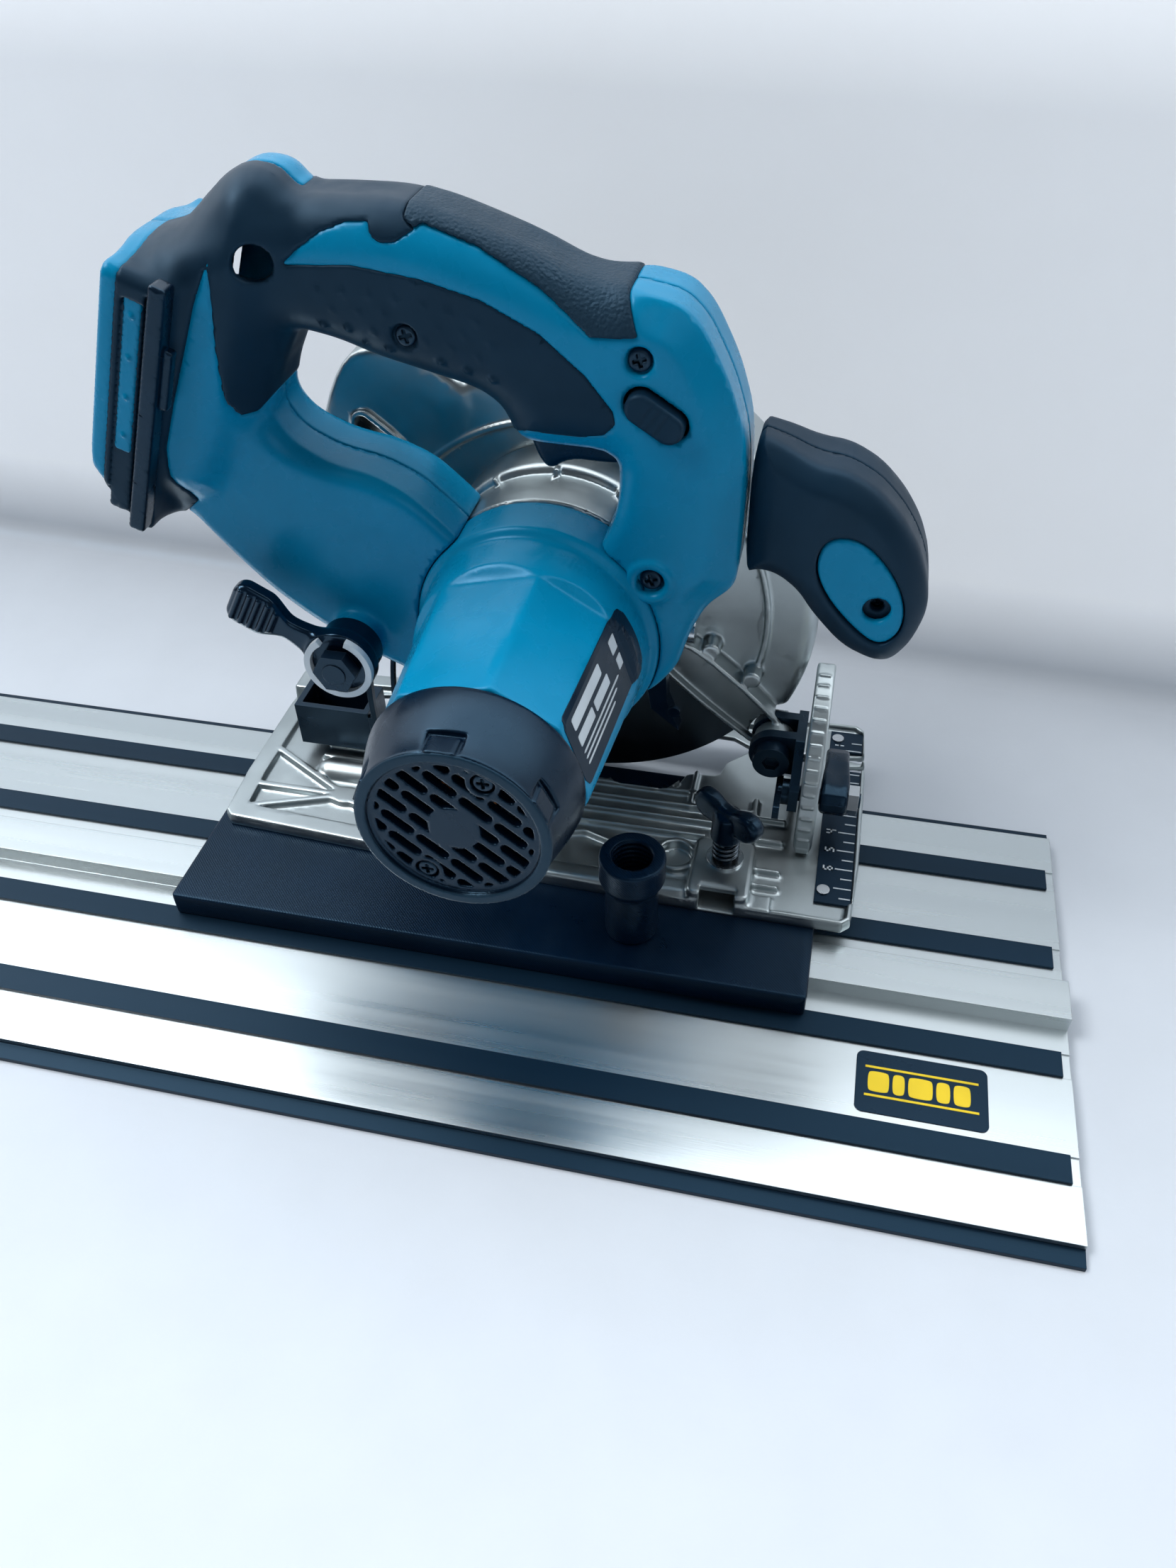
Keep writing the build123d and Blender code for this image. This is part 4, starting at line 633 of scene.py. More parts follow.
def rating_label():
    """Blank rating label on the casing: a dark sheet with pale bars and blocks."""
    wrapped("rating_label", (-LABEL_HALF, LABEL_HALF), LABEL_ENDS, 3, 0.22, LOOKS["label_dark"])
    bars = [((4.6, 8.6), (-35, -8)), ((-1.0, 2.6), (-35, -21)), ((-1.0, 2.6), (-19, -5)), ((-3.6, -2.9),
            (-35, 2)),
            ((-5.6, -4.9), (-35, -2)), ((-7.6, -6.9), (-35, -6)), ((3.0, 8.0), (3, 8)), ((-3.0, 1.0),
            (4, 8))]
    for number, (width, ends) in enumerate(bars):
        wrapped("rating_bar_%d" % number, width, ends, 0.3, 0.36, PALE)


END_SCREW_RING = 20.5
END_SCREWS = [(MOTOR_X + END_SCREW_RING * cos(turn), MOTOR_Z + END_SCREW_RING * sin(turn))
              for turn in (radians(62), radians(242))]


def end_cap():
    g = around("end_cap", 0.5)
    dx, dz = g.x - MOTOR_X, g.z - MOTOR_Z
    r = np.hypot(dx, dz)
    radius = 28.3 + (32.6 - 28.3) * ramp(g.y, CAP_END, CAP_JOINT)
    body = rounded(r - radius, slab(g.y, CAP_END, CAP_JOINT), 1.4)
    for angle in (92, 25, 158):
        turn = radians(angle)
        out = dx * cos(turn) + dz * sin(turn)
        across = np.abs(-dx * sin(turn) + dz * cos(turn))
        groove = meet(across - 5.4, g.y - CAP_END - 8.2, 27.6 - out)
        tab = rounded(rounded(across - 4.3, g.y - CAP_END - 7.0, 0.8), out - 28.6, 0.5)
        body = cut(body, groove, 0.4)
        body = union(body, meet(tab, 20 - out), 0.2)
    body = meet(body, CAP_END - g.y)
    body = cut(body, meet(r - 24.8, g.y - CAP_END - 1.3), 0.5)
    body = cut(body, meet(r - 26, CAP_END + 4.5 - g.y))
    slots = slot_field(g, dx, dz)
    for x, z in END_SCREWS:
        clear = y_radius(g, x, z)
        slots = meet(slots, 5.0 - clear)
        slots = union(slots, clear - 3.4)
    slots = meet(slots, 1.2 + meet(r - 24, 6.5 - r))
    body = cut(body, meet(slots, g.y - CAP_END - 7), 0.15)
    mesh_piece("motor_end_cap", g, body, "black_plastic", "end_cap")
    # The rim ring is black plastic drawn in a lighter black: painted highlight.
    ring = rounded(np.abs(r - 26.6) - 1.7, slab(g.y, CAP_END - 0.25, CAP_END + 0.6), 0.35)
    mesh_piece("end_cap_rim", g, ring, "black_plastic", look=RIM_PAINTED_HIGHLIGHT)


def slot_field(g, dx, dz, lean=-40, pitch=5.4, length=12.2):
    """Air slots in staggered rows."""
    turn = radians(lean)
    along = dx * cos(turn) + dz * sin(turn)
    across = -dx * sin(turn) + dz * cos(turn)
    slots = np.float32(1e3)
    for row in range(-5, 6):
        for column in range(-3, 4):
            centre = column * length + (length / 2 if row % 2 else 0)
            slot = capsule(along, across, centre - 3.9, row * pitch, centre + 3.9, row * pitch, 1.5)
            slots = union(slots, slot)
    return slots


# Saw base casting and what is printed on it

BASE_BODY = "carriage"
BASE_LOW, BASE_HIGH = node_box("base_plate")
BASE_TOP = 21.0
BASE_FLOOR = 18.5
STAR = (-80, 40)
STAR_ENDS = [(-118, 62), (-118, 40), (-118, 26), (-50, 21), (-46, 40), (-50, 60)]
LONG_RIBS = [(-97, 62, 84, 62, 1.2), (-97, 70, 60, 70, 1.0), (-40, 46, 66, 46, 1.0), (-40, 54, 84, 54, 0.9),
             (-36, 22, 20, 40, 1.1), (20, 40, 50, 30, 1.1), (-36, 40, 20, 18, 1.1), (84, 26, 84, 70, 1.2),
             (58, 62, 58, 82, 1.0)]
SIDE_RIBS = [(85, 24, 96, 24, 0.9), (85, 32, 96, 32, 0.9), (85, 48, 96, 48, 0.9), (85, 60, 96, 60, 0.9)]
WINDOW_FRONT = [(22, 74), (26, 69.5), (47, 69.5), (51, 75), (54, 83), (67, 84.5), (69, 93), (76, 100),
                (79, 104),
                (69, 110)]
FENCE = middle("fence_screw")


def base_casting():
    g = Grid(BASE_LOW, BASE_HIGH, 0.55)
    corner = [(-125.6, 18), (125.6, 9), (125.6, 126.7), (-125.6, 118.7)]
    edge = polygon(g.x, g.y, soften(rounded_corners(corner, 6), 1, 0.25))
    floor_slab = rounded(edge, slab(g.z, 16, BASE_FLOOR), 0.5)
    rim = meet(edge, -(edge + 8))
    rim = meet(rim, g.x - 95)
    front_rim = meet(edge, -(edge + 1.8), 95 - g.x)
    ribs = union(rim, front_rim)
    for x, y in STAR_ENDS:
        ribs = union(ribs, capsule(g.x, g.y, *STAR, x, y, 1.5))
    ribs = union(ribs, np.hypot(g.x - STAR[0], g.y - STAR[1]) - 5, 3)
    for x0, y0, x1, y1, radius in LONG_RIBS + SIDE_RIBS:
        ribs = union(ribs, capsule(g.x, g.y, x0, y0, x1, y1, radius), 1.2)
    well = np.hypot(g.x - 57, g.y - 34)
    ribs = union(ribs, well - 8.8, 1.5)
    raised = rounded(ribs, slab(g.z, 16, BASE_TOP), 0.8)
    body = union(floor_slab, raised, 1.5)
    boss = rounded(slab(g.x, 64, 87), slab(g.y, 11.5, 41), 3)
    body = union(body, rounded(boss, slab(g.z, 16, 25), 1.2), 2)
    ramp_field = rounded(slab(g.x, -30, 64), slab(g.y, 13, 20), 3)
    body = union(body, rounded(ramp_field, slab(g.z, 16, 22.2), 1.2), 2)
    bump = np.sqrt((g.x - np.clip(g.x, -92, -28)) ** 2 + (g.y - 55) ** 2 + (g.z - 17.5) ** 2) - 6.2
    body = union(body, bump, 1.5)
    lug = rounded(slab(g.x, -123, -116), polygon(g.y, g.z, [(91, 17), (107, 17), (105, 30), (93, 30)]), 1.5)
    body = union(body, lug, 1.5)
    loop = np.abs(polygon(g.x, g.y, soften([(22, 77), (25, 70), (48, 70), (52, 77)], 1))) - 0.9
    body = union(body, rounded(loop, slab(g.z, 17, BASE_TOP), 0.7), 1)
    across_fence = slab(g.x, FENCE[0] - 7, FENCE[0] + 6)
    channel = rounded(across_fence, slab(g.z, 17.2, 22), 0.4)
    window = soften([(-94, 111), (-94, 74)] + WINDOW_FRONT, 1, 0.12)
    cuts = [(rounded(well - 6.4, slab(g.z, 16.8, 40), 0.5), 0.6),
            (polygon(g.x, g.y, window), 0.8),
            (meet(slab(g.x, 92, 101.3), slab(g.y, 90, 107)), 0.6),
            (meet(slab(g.x, -115.8, -93), slab(g.y, 90, 108)), 0.6),
            (meet(channel, g.y - 60), 0.5),
            (meet(across_fence, slab(g.y, 5, 15.5), 17.2 - g.z), 0.6),
            (np.hypot(g.x - FENCE[0], g.y - FENCE[1]) - 3.2, 0.3)]
    for y in (99, 105):
        notch = [(127, y - 2.6), (127, y + 2.6), (118, y + 1), (118, y - 1)]
        cuts.append((polygon(g.x, g.y, notch), 0.5))
    seat = rounded(slab(g.x, 110.4, 124.1), slab(g.y, 20.8, 121.2), 1.5)
    cuts.append((meet(seat, 18.5 - g.z), 0.3))
    cuts.append((np.hypot(g.y - 99, g.z - 22) - 2.55, 0))
    for tool, edge in cuts:
        body = cut(body, tool, edge)
    mesh_piece("base_casting", g, body, "cast_silver", "base_plate", BASE_BODY)


def rounded_corners(points, radius):
    """An outline whose corners are replaced by two points, each radius away along the sides."""
    cornered = []
    count = len(points)
    for i, (x, y) in enumerate(points):
        for other in (points[i - 1], points[(i + 1) % count]):
            dx, dy = other[0] - x, other[1] - y
            share = radius / hypot(dx, dy)
            cornered.append((x + dx * share, y + dy * share))
    return cornered


def prisms(name, outlines, z0, z1, look, body):
    """Flat printed or raised shapes; every outline lies in the XY plane."""
    points, faces = [], []
    for outline in outlines:
        first, n = len(points), len(outline)
        for z in (z0, z1):
            points += [(x * MM, y * MM, z * MM) for x, y in outline]
        faces.append([first + i for i in range(n)][::-1])
        faces.append([first + n + i for i in range(n)])
        faces += [(first + i, first + (i + 1) % n, first + n + (i + 1) % n, first + n + i) for i in range(n)]
    mesh = bpy.data.meshes.new(name)
    mesh.from_pydata(points, [], faces)
    place_piece(name, mesh, look, body, None)


def bar(x0, x1, y0, y1, corner=0.0):
    if not corner:
        return [(x0, y0), (x1, y0), (x1, y1), (x0, y1)]
    cornered = rounded_corners([(x0, y0), (x1, y0), (x1, y1), (x0, y1)], corner)
    return [tuple(p) for p in soften(cornered, 2, 0.25)]


SEGMENTS = {"0": "abcdef", "1": "bc", "4": "fgbc", "5": "afgcd", "6": "afgedc"}
SEGMENT_ENDS = {"a": (0, 2, 1, 2), "b": (1, 2, 1, 1), "c": (1, 1, 1, 0), "d": (0, 0, 1, 0),
                "e": (0, 0, 0, 1), "f": (0, 1, 0, 2), "g": (0, 1, 1, 1)}


def numeral(digit, x, y, size=1.55, stroke=0.32):
    """Strokes of a digit that is read from the front, with its head towards the rear."""
    strokes = []
    for name in SEGMENTS[digit]:
        u0, v0, u1, v1 = SEGMENT_ENDS[name]
        x0, x1 = sorted((x - v0 * size, x - v1 * size))
        y0, y1 = sorted((y + u0 * size * 1.1, y + u1 * size * 1.1))
        strokes.append(bar(x0 - stroke, x1 + stroke, y0 - stroke, y1 + stroke))
    return strokes


def scale_marks():
    zero = 99
    top = BASE_FLOOR + 1
    marks = []
    for step in range(-4, 16):
        y = zero - 5 * step
        if not 23 < y < 119 or abs(y - 99) < 4 or abs(y - 105) < 4:
            continue
        length = 4.2 if step % 2 else 6.5
        marks.append(bar(123.6 - length, 123.6, y - 0.3, y + 0.3))
    for digit, step in (("0", 0.6), ("1", -1.2), ("4", 4), ("5", 5), ("6", 6)):
        marks += numeral(digit, 116, zero - 10 * step - 0.8)
    prisms("scale_numerals", marks, top - 0.05, top + 0.12, PALE, BASE_BODY)


def rail_marks():
    """Plain bars on the rail label."""
    top = RAIL_TOP + 0.3
    bars = [bar(134, 171, -48.8, -47.9), bar(134, 171, -37.6, -36.7)]
    x = 135
    for width in (7, 4, 8, 4.5, 5.5):
        bars.append(bar(x, x + width, -46.8, -38.8, 1.0))
        x += width + 1.1
    prisms("rail_label_bars", bars, top - 0.05, top + 0.08, YELLOW, "guide_rail")


# Bevel quadrant and levers at the front

BEVEL_Y, BEVEL_Z = 99.0, 22.0


def quadrant():
    g = around("bevel_quadrant", 0.5)
    dy, dz = BEVEL_Y - g.y, g.z - BEVEL_Z
    r = np.hypot(dy, dz)
    angle = np.degrees(np.arctan2(dz, dy))
    start, end = (0 - angle) * np.radians(r), (angle - 82) * np.radians(r)
    wedge = meet(start, end)
    rim = rounded(meet(np.abs(r - 52.6) - 2.2, wedge), slab(g.x, 100.4, 107.5), 1.0)
    web = meet(np.abs(r - 28) - 24, wedge + 0.4, slab(g.x, 102.4, 105.4))
    body = union(rim, web, 1.2)
    hub = rounded(r - 7.5, slab(g.x, 101.5, 106.5), 0.8)
    foot = meet(slab(g.y, 44, 116), slab(g.x, 101.5, 106.5), slab(g.z, 19.6, 22))
    body = union(union(body, hub, 1.5), foot, 1.2)
    turn = np.clip(angle, 22, 72)
    slot = np.hypot(dy - 45 * np.cos(np.radians(turn)), dz - 45 * np.sin(np.radians(turn))) - 3.3
    body = cut(body, slot, 0.5)
    body = cut(body, r - 2.5)
    step = 5.0
    nearest = np.abs(angle - step * np.round(angle / step)) * np.radians(r)
    ridge = meet(nearest - 0.42, np.abs(r - 54.9) - 0.42, slab(g.x, 101.6, 106.0))
    ridge = meet(ridge, 3 - angle, angle - 79)
    body = union(body, ridge, 0.25)
    body = meet(body, 19.55 - g.z)
    mesh_piece("bevel_quadrant_cast", g, body, "cast_silver", "bevel_quadrant", BASE_BODY)


def bevel_handle():
    g = around("bevel_lever", 0.45)
    y, z = bevel_bolt()
    outline = [(y - 8, z - 7), (y + 26, z - 6), (y + 28, z + 5), (y - 6, z + 8)]
    paddle = polygon(g.y, g.z, soften(outline, 2))
    swell = 0.5 * np.cos((g.y - y) * 0.16)
    body = rounded(paddle + 0.2, slab(g.x, 108.3, 118) - swell, 1.8)
    dish = np.sqrt((g.x - 113) ** 2 + ((g.y - y - 12) * 0.35) ** 2 + (g.z - z - 12) ** 2) - 6.5
    body = cut(body, dish, 1.5)
    body = cut(body, np.hypot(g.y - y, g.z - z) - 3.05)
    mesh_piece("bevel_lever_grip", g, body, "black_plastic", "bevel_lever", "bevel_clamp")


def bevel_bolt():
    turn = radians(22)
    return BEVEL_Y - 45 * cos(turn), BEVEL_Z + 45 * sin(turn)


def wing_screw():
    """Butterfly screw of the rip fence: two dished wings on a ribbed hub."""
    low, high = node_box("fence_screw")
    g = Grid((FENCE[0] - 16, FENCE[1] - 16, low[2] - 1), (FENCE[0] + 16, FENCE[1] + 16, high[2] + 2), 0.45)
    foot, turn = 36.5, radians(-35)
    dx, dy = g.x - FENCE[0], g.y - FENCE[1]
    along = dx * cos(turn) + dy * sin(turn)
    across = -dx * sin(turn) + dy * cos(turn)
    hub = rounded(np.hypot(dx, dy) - 6.3 + 0.10 * (g.z - foot), slab(g.z, foot, foot + 12), 1.2)
    lobe = capsule(along, g.z - 0.10 * np.abs(along), -9.4, foot + 10, 9.4, foot + 10, 1)
    waist = 4.4 + 1.4 * ramp(np.abs(along), 2, 8)
    wings = rounded(lobe + 1 - waist, np.abs(across) - 3.0 - 0.4 * ramp(np.abs(along), 2, 9), 2.4)
    body = union(hub, wings, 1.6)
    thread = np.hypot(dx, dy) - 2.8 + 0.25 * np.sin(g.z * 2 * pi / 1.2 + np.arctan2(dy, dx))
    body = union(body, meet(thread, slab(g.z, 22.1, foot + 1)), 0.3)
    mesh_piece("fence_wing_screw", g, body, "black_plastic", "fence_screw", "fence_clamp")


def knob():
    low, high = node_box("adapter_knob")
    centre = middle("adapter_knob")
    g = Grid(low - 1, high + 1, 0.5)
    r = np.hypot(g.x - centre[0], g.y - centre[1])
    angle = np.arctan2(g.y - centre[1], g.x - centre[0])
    foot, top = 16.1, high[2]
    radius = 9.5 + 2.3 * ramp(g.z, top - 15, top - 9.5)
    rings = 0.05 * np.sin(g.z * 2 * pi / 0.9)
    body = rounded(r - radius + rings, slab(g.z, foot, top), 0.9)
    bore_rings = 0.35 * np.sin(g.z * 2 * pi / 2.2 + angle)
    body = cut(body, meet(r - 7.3 - bore_rings, top - 15 - g.z), 0.6)
    body = union(body, meet(r - 3, slab(g.z, low[2], foot + 12)), 0)
    mesh_piece("adapter_knob_body", g, body, "printed_black", "adapter_knob", "brake_knob")


def adapter():
    low, high = node_box("adapter_plate")
    g = Grid(low, high, 0.7)
    edge = rounded(slab(g.x, low[0], high[0]), slab(g.y, low[1], high[1]), 1.4)
    body = rounded(edge, slab(g.z, low[2], high[2]), 0.7)
    layers = 0.06 * np.sin(g.z * 2 * pi / 1.4) * (1 - ramp(-edge, 0.2, 1.5))
    body = body + layers
    body = cut(body, meet(np.abs(g.y) - 8.5, g.z - 11.6))
    body = cut(body, meet(np.hypot(g.x - 46.5, g.y + 1.5) - 3.05, 11 - g.z))
    mesh_piece("adapter_printed", g, body, "printed_black", "adapter_plate", "carriage")


# Depth clamp

def clamp_lever():
    low, high = node_box("depth_lever")
    g = Grid((low[0] - 4, low[1] - 1, low[2] - 2), (high[0] + 1, high[1] + 0.5, high[2] + 3), 0.45)
    r = y_radius(g, CLAMP_X, CLAMP_Z)
    hub = rounded(r - 12, slab(g.y, 8, 14.5), 1.6)
    hub = union(hub, rounded(r - 10.6, slab(g.y, 10, 21.9), 0.6), 0.8)
    along = (CLAMP_X - g.x) * 0.87 + (g.z - CLAMP_Z) * 0.49
    across = (CLAMP_X - g.x) * 0.49 - (g.z - CLAMP_Z) * 0.87
    half = 6.2 - 2.4 * ramp(along, 6, 20) + 4.4 * ramp(along, 20, 30)
    paddle = rounded(np.abs(across + 1.5 * ramp(along, 12, 34)) - half, slab(along, 0, 41), 4.5)
    bow = 1.3 * ramp(along, 14, 34)
    arm = rounded(paddle, np.abs(g.y - 13 + bow) - 2.9, 1.8)
    body = union(hub, arm, 3)
    for i in range(5):
        place = 25.5 + 3.2 * i
        ridge = meet(np.hypot(along - place, g.y - 10.1 + bow) - 0.95, np.abs(across + 1.5) - half + 1.8)
        body = union(body, ridge, 0.5)
    body = cut(body, meet(r - 9.4, g.y - 9.4), 0.4)
    body = cut(body, meet(np.abs(r - 10.8) - 1.35, g.y - 9.3), 0.2)
    body = cut(body, r - 4.05)
    mesh_piece("depth_clamp_lever", g, body, "black_plastic", "depth_lever", "depth_clamp",
               LOOKS["lamp_black"])


# Blade case and gear housing

CASE_LOBE = [(-84, 140), (-87, 150), (-74, 183), (-60, 190), (-40, 186), (-20, 170), (-60, 128)]
CASE_LUG = [(95, 50), (91, 42), (84, 41.5), (46, 72), (34, 88), (50, 93), (80, 68)]
CASE_TILT = radians(30)
CASE_RADIUS, CASE_WALL = 92, 3
CASE_NEAR, CASE_FAR = 83, 115
DRUM_RADIUS = 43.4


def blade_case_piece():
    low, high = node_box("blade_case")
    g = Grid(low - 0.5, high + 0.5, 0.75)
    dx, dz = g.x - SPINDLE_X, g.z - SPINDLE_Z
    r = np.hypot(dx, dz)
    upper = -(dx * sin(CASE_TILT) + dz * cos(CASE_TILT))
    outer = rounded(r - CASE_RADIUS, slab(g.y, CASE_NEAR, CASE_FAR), 5)
    outer = meet(outer, upper)
    lobe_line = polygon(g.x, g.z, soften(CASE_LOBE, 2))
    lobe = rounded(lobe_line, slab(g.y, 83, 111), 2.5)
    outer = union(outer, lobe, 2)
    inner = meet(r - CASE_RADIUS + CASE_WALL, slab(g.y, CASE_NEAR + CASE_WALL, CASE_FAR - CASE_WALL))
    inner = union(inner, meet(lobe_line + 3, slab(g.y, 86, 108)))
    inner = union(inner, meet(r - 60, slab(g.y, 108, 120)))
    inner = union(inner, meet(slab(g.x, -101, -60), slab(g.y, 86, 108), slab(g.z, 120, 140)))
    lug_line = polygon(g.x, g.z, soften(CASE_LUG, 2))
    lug = rounded(lug_line, slab(g.y, 77.3, 86), 2.0)
    body = cut(outer, inner, 0.5)
    rib_line = meet(np.abs(lug_line + 1.0) - 1.0, 0.5 * (g.x - 95))
    body = union(body, lug, 1.5)
    body = union(body, meet(rib_line, slab(g.y, 74.5, 82)), 0.8)
    body = cut(body, meet(y_radius(g, PIVOT_X, PIVOT_Z) - 10.5, 77.3 - g.y))
    lug_ear = y_disc(g, PIVOT_X, PIVOT_Z, 8, 70.3, 77.2, 0.8)
    body = union(body, lug_ear)
    for x, z in ((61, 86), (77, 75)):
        stud = y_disc(g, x, z, 3.4, 75.5, 84, 0.8)
        body = union(body, stud, 1.0)
    body = union(body, meet(r - 16, 13 - r, slab(g.y, 85, 93.4)))
    body = cut(body, meet(r - 13, slab(g.y, 80, 93.5)))
    boss = capsule(g.x, g.z, -66, 162, -56, 154, 5.2)
    body = union(body, rounded(boss, slab(g.y, 80.5, 86), 1.0), 1.0)
    body = cut(body, meet(capsule(g.x, g.z, -66.5, 162.5, -55.5, 153.5, 2.6), g.y - 88), 0.5)
    rib_arc = meet(np.abs(r - 74) - 0.9, slab(g.y, 81.6, 84))
    body = union(body, meet(rib_arc, upper + 4), 1.0)
    body = cut(body, y_radius(g, PIVOT_X, PIVOT_Z) - 4.05)
    mesh_piece("blade_case_cast", g, body, "cast_silver", "blade_case")


def gear_case_piece():
    low, high = node_box("gear_housing")
    g = Grid(low - 0.3, high + 0.3, 0.75)
    rm = y_radius(g, MOTOR_X, MOTOR_Z)
    rs = y_radius(g, SPINDLE_X, SPINDLE_Z)
    drum = rounded(rm - DRUM_RADIUS, slab(g.y, 62.6, 83), 3.5)
    drum = union(drum, rounded(rs - 25, slab(g.y, 62.6, 83), 3), 5)
    inset = meet(rm - 40.8, slab(g.y, 45.2, 64))
    body = union(drum, inset, 0)
    angle = np.arctan2(g.z - MOTOR_Z, g.x - MOTOR_X)
    step = radians(30)
    nearest = np.abs(angle - step * np.round(angle / step)) * rm
    fins = meet(nearest - 0.9, rm - DRUM_RADIUS, 30 - rm, slab(g.y, 61, 64))
    body = union(body, fins, 0.8)
    hollow = union(meet(rm - 37.5, slab(g.y, 52, 84)), meet(rs - 22.3, slab(g.y, 58, 84)))
    hollow = cut(hollow, meet(rs - 12.5, slab(g.y, 45, 58)))
    body = meet(body, -hollow)
    body = cut(body, meet(rm - 8, g.y - 53))
    body = cut(body, meet(rs - 9.5, slab(g.y, 50, 59)))
    boss = np.hypot(g.y - 76, g.z - SPINDLE_Z)
    body = union(body, rounded(boss - 5.5, slab(g.x, 30, 47), 0.8), 1.5)
    body = cut(body, meet(boss - 2.6, slab(g.x, 28, 50)))
    body = cut(body, meet(rs - 22.2, slab(g.y, 58, 84)))
    mesh_piece("gear_case_cast", g, body, "cast_silver", "gear_housing")


# Trigger, lock-off button and battery rails

def controls():
    g = around("trigger", 0.4)
    outline = [(5, 189), (31, 190), (35.5, 187), (35, 178), (29, 177.5), (18, 178), (12, 173.5), (8, 178)]
    face = polygon(g.x, g.z, soften(outline, 2))
    body = rounded(face, g.off - 7, 2.2)
    body = union(body, meet(y_radius(g, 32, 186) - 1.5, g.off - 10.8), 0.2)
    mesh_piece("trigger_lever", g, body, "black_plastic", "trigger", "trigger_body")
    g = around("lock_off_button", 0.35)
    key = capsule(g.x, g.z, 41.9, 201.6, 50.1, 196.4, 4.5)
    body = rounded(key, slab(g.y, NEAR - 3.5, NEAR + 9), 1.4)
    slope = (g.x - 46) * 0.85 - (g.z - 199) * 0.53
    for i in range(-1, 2):
        groove = np.hypot(slope - 2.6 * i, g.y - NEAR + 3.7) - 0.55
        body = cut(body, groove, 0.3)
    mesh_piece("lock_off_key", g, body, "black_plastic", "lock_off_button", "lock_off",
               LOOKS["black_rubber"])


SCREWS = [("top_rear", -66, 235, 12.0, 3.4), ("top_front", 41, 214, 0.8, 3.4),
          ("head", *HEAD_SCREW, 1.2, 3.6),
          ("pad", -26, 216, 1.0, 3.2), ("grip", *INSERT_BORE, 8.5, 3.2)]


def cross_head(g, x, z, near, radius, edge, slant, half, reach, depth):
    """Pan head whose top is at near, with a cross recess of half width half."""
    u, v = g.x - x, g.z - z
    r = np.hypot(u, v)
    head = rounded(r - radius, slab(g.y, near, near + 2.4), edge)
    bars = union(np.abs(u + slant * v), np.abs(v - slant * u)) - half
    return cut(head, meet(bars, r - reach, g.y - near - depth), 0.25), r


def screws():
    """Pan heads, sunk in the bores of the handle, the front grip and the motor's end cap."""
    for name, x, z, depth, radius in SCREWS:
        near = NEAR + depth
        g = Grid((x - 4, near - 0.6, z - 4), (x + 4, near + 8, z + 4), 0.22)
        head, r = cross_head(g, x, z, near, radius, 1.1, 0.3, 0.55, 2.0, 1.5)
        body = union(head, meet(r - 1.8, slab(g.y, near + 2, near + 8)))
        first = "housing_screws" if name == "top_rear" else None
        mesh_piece("housing_screw_" + name, g, body, "black_steel", first)
    for number, (x, z) in enumerate(END_SCREWS):
        g = Grid((x - 4, CAP_END, z - 4), (x + 4, CAP_END + 5, z + 4), 0.22)
        head, _ = cross_head(g, x, z, CAP_END + 1.6, 3.0, 1.0, 0.0, 0.45, 1.8, 1.4)
        mesh_piece("end_cap_screw_%d" % number, g, head, "black_steel")


def battery_bars():
    g = Grid((-124, HANDLE_Y - MOUNT_HALF - 6, 150), (-80, HANDLE_Y + MOUNT_HALF + 6, 240), 0.7)
    up, ahead = rear_axes(g)
    across = g.off - MOUNT_HALF
    rail = rounded(rounded(slab(ahead, 16.2, 21.4), slab(up, -80, 2), 1.0), slab(across, -2, 4.6), 0.8)
    step = rounded(rounded(slab(ahead, 21.0, 23.6), slab(up, -36, -17), 0.6), slab(across, -2, 1.6), 0.5)
    mesh_piece("battery_slide_bars", g, union(rail, step, 0.5), "black_plastic", "battery_rails")
    strip = rounded(rounded(slab(ahead, 7.4, 13.0), slab(up, -57, -5), 0.6), slab(across, -3, -0.35), 0.4)
    for place in (-12, -25, -38, -51):
        ball = np.sqrt((up - place) ** 2 + (ahead - 10.3) ** 2 + (across + 0.35) ** 2) - 0.9
        strip = union(strip, ball, 0.4)
    mesh_piece("battery_mount_strips", g, strip, "teal_plastic")


handle_pieces()
front_grip()
motor_casing()
end_cap()
base_casting()
scale_marks()
rail_marks()
quadrant()
bevel_handle()
wing_screw()
knob()
adapter()
clamp_lever()
blade_case_piece()
gear_case_piece()
controls()
battery_bars()
screws()


# Stage, in metres

WALL_FOOT = (-0.382, 0.225, 0.0)
WALL_TURN = radians(-3.4)
WALL_BEND = 0.010
WALL_HEIGHT = 3.0
CAMERA_PLACE = (0.0972, -0.2810, 0.3450)
CAMERA_AZIMUTH, CAMERA_ELEVATION, CAMERA_ROLL = (radians(a) for a in (13.265, 42.312, 1.196))
FOCAL_SHARE = 1661 / 2212
AIM = (0, 0.05, 0.1)


def area_light(name, place, target, size, power, colour):
    data = bpy.data.lights.new(name, "AREA")
    data.shape = "RECTANGLE"
    data.size, data.size_y = size
    data.energy = power
    data.color = colour
    light = put(name, data)
    light.location = place
    light.rotation_euler = (Vector(target) - Vector(place)).to_track_quat("-Z", "Y").to_euler()


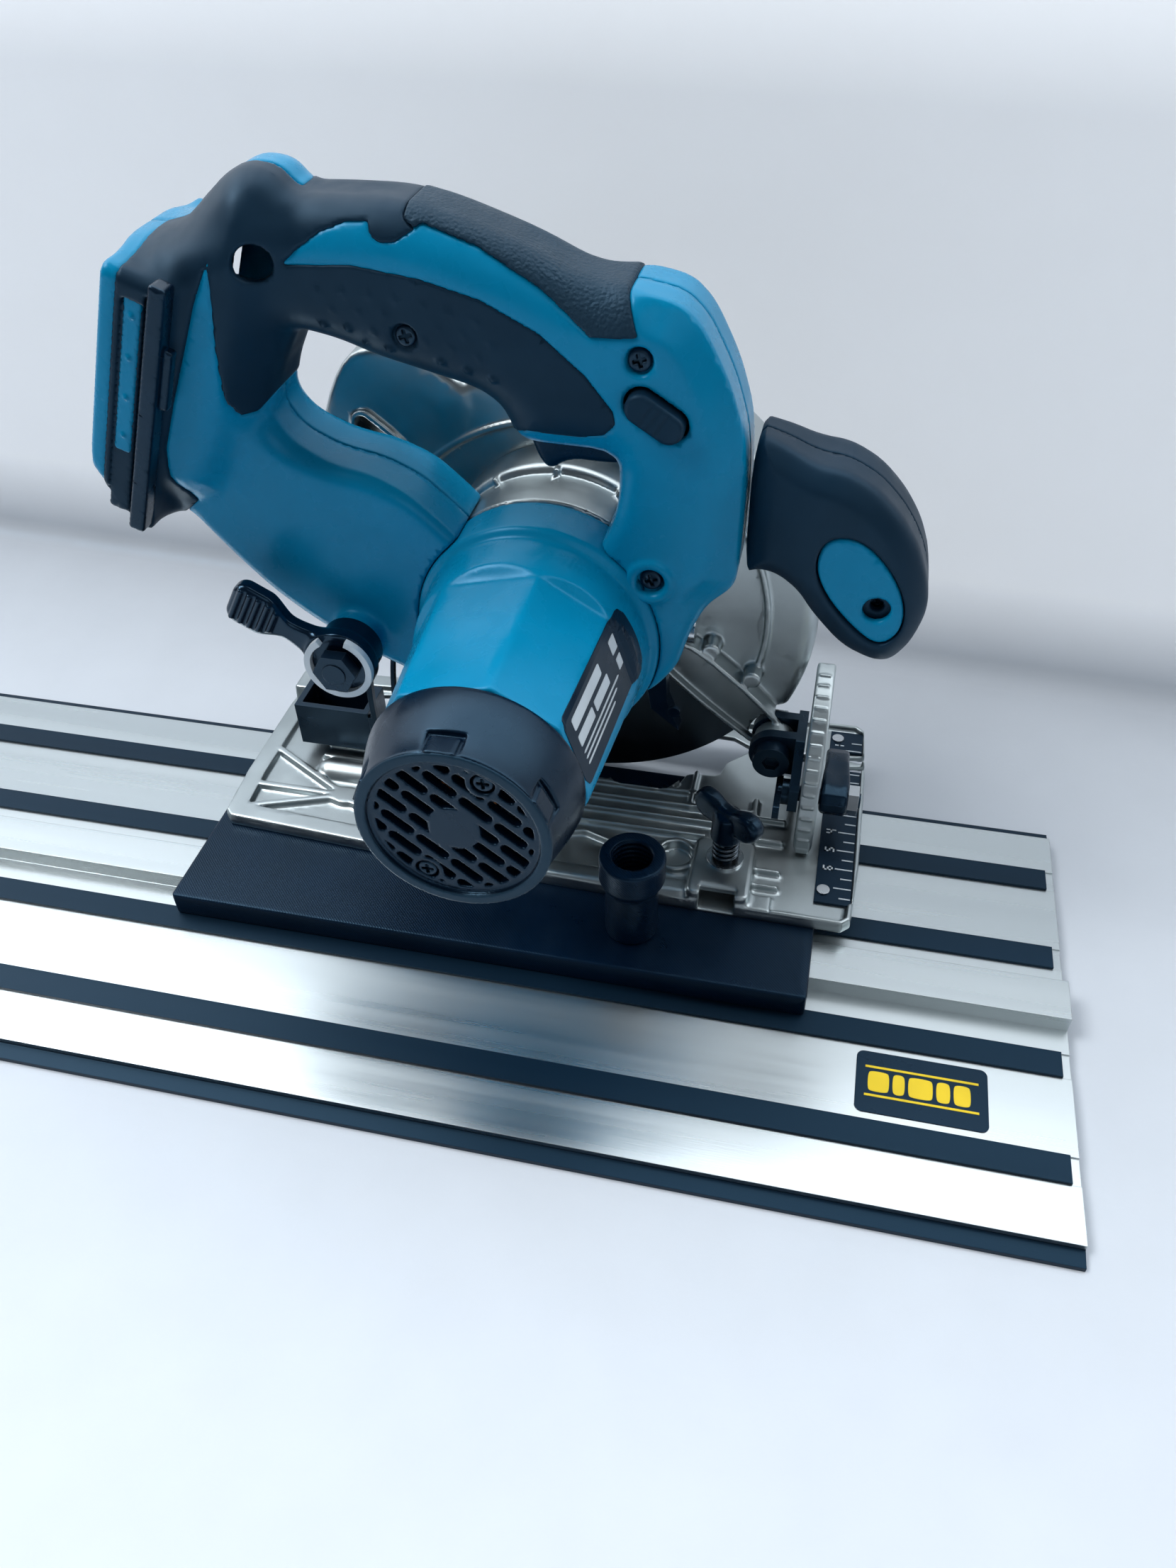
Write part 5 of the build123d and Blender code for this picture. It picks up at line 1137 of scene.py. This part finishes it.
def stage():
    """White table with a pale wall that stands a little askew behind the saw; it's clear from behind."""
    mesh = bpy.data.meshes.new("floor")
    profile = [(-3.0, 0.0), (0.0, 0.0)]
    for turn in np.linspace(0.2, pi / 2, 8):
        profile.append((WALL_BEND * sin(turn), WALL_BEND - WALL_BEND * cos(turn)))
    profile.append((WALL_BEND, WALL_HEIGHT))
    turn = Matrix.Rotation(WALL_TURN, 4, "Z")
    points = [turn @ Vector((x, y, z)) + Vector(WALL_FOOT) for x in (-4, 4) for y, z in profile]
    n = len(profile)
    mesh.from_pydata(points, [], [(i, n + i, n + i + 1, i + 1) for i in range(n - 1)])
    mesh.shade_smooth()
    floor = put("floor", mesh)
    floor.data.materials.append(floor_look())
    world = bpy.data.worlds.new("studio")
    world.use_nodes = True
    world.node_tree.nodes["Background"].inputs[0].default_value = (0.70, 0.80, 0.92, 1)
    world.node_tree.nodes["Background"].inputs[1].default_value = 0.15
    bpy.context.scene.world = world
    area_light("window", (-1.8, -0.5, 2.7), AIM, (1.2, 1.2), 58, (0.96, 0.98, 1.0))
    area_light("front_fill", (0.9, -1.5, 1.3), AIM, (1.2, 1.0), 3.5, (0.88, 0.94, 1.0))


def floor_look():
    """Paper white that glows on the wall, and that's clear from behind so it never hides the saw."""
    material = look("floor_white", (0.60, 0.63, 0.67), 0.5, 0.0, (2.0, 0.02), drift=0.015, wear=0)
    tree = material.node_tree
    shader = tree.nodes["Principled BSDF"]
    geometry = add(tree, "NewGeometry")
    height = add(tree, "SeparateXYZ", {0: geometry.outputs["Position"]}).outputs["Z"]
    low = remap(tree, height, 0.005, 0.05, 0.0, 0.36)
    high = remap(tree, height, 0.24, 0.75, 0.0, 2.9)
    glow = calculate(tree, "ADD", low, high)
    shader.inputs["Emission Color"].default_value = (0.93, 0.965, 1.0, 1)
    tree.links.new(glow, shader.inputs["Emission Strength"])
    clear = add(tree, "BsdfTransparent").outputs[0]
    mixed = add(tree, "MixShader", {0: geometry.outputs["Backfacing"], 1: shader.outputs[0], 2: clear})
    tree.links.new(mixed.outputs[0], tree.nodes["Material Output"].inputs["Surface"])
    return material


def camera():
    """Looks down at the saw from the motor's side, a little rolled."""
    level = cos(CAMERA_ELEVATION)
    back = Vector((sin(CAMERA_AZIMUTH) * level, -cos(CAMERA_AZIMUTH) * level,
                   sin(CAMERA_ELEVATION)))
    right = (-back).cross(Vector((0, 0, 1))).normalized()
    down = -(right.cross(-back))
    cosine, sine = cos(CAMERA_ROLL), sin(CAMERA_ROLL)
    right, down = cosine * right + sine * down, cosine * down - sine * right
    turn = Matrix((right, -down, back)).transposed().to_4x4()
    data = bpy.data.cameras.new("camera")
    data.sensor_fit = "VERTICAL"
    data.sensor_height = 36
    data.lens = 36 * FOCAL_SHARE
    data.clip_start = 0.01
    eye = put("camera", data)
    eye.matrix_world = Matrix.Translation(CAMERA_PLACE) @ turn
    bpy.context.scene.camera = eye


stage()
camera()
bpy.context.scene.view_settings.view_transform = "Standard"
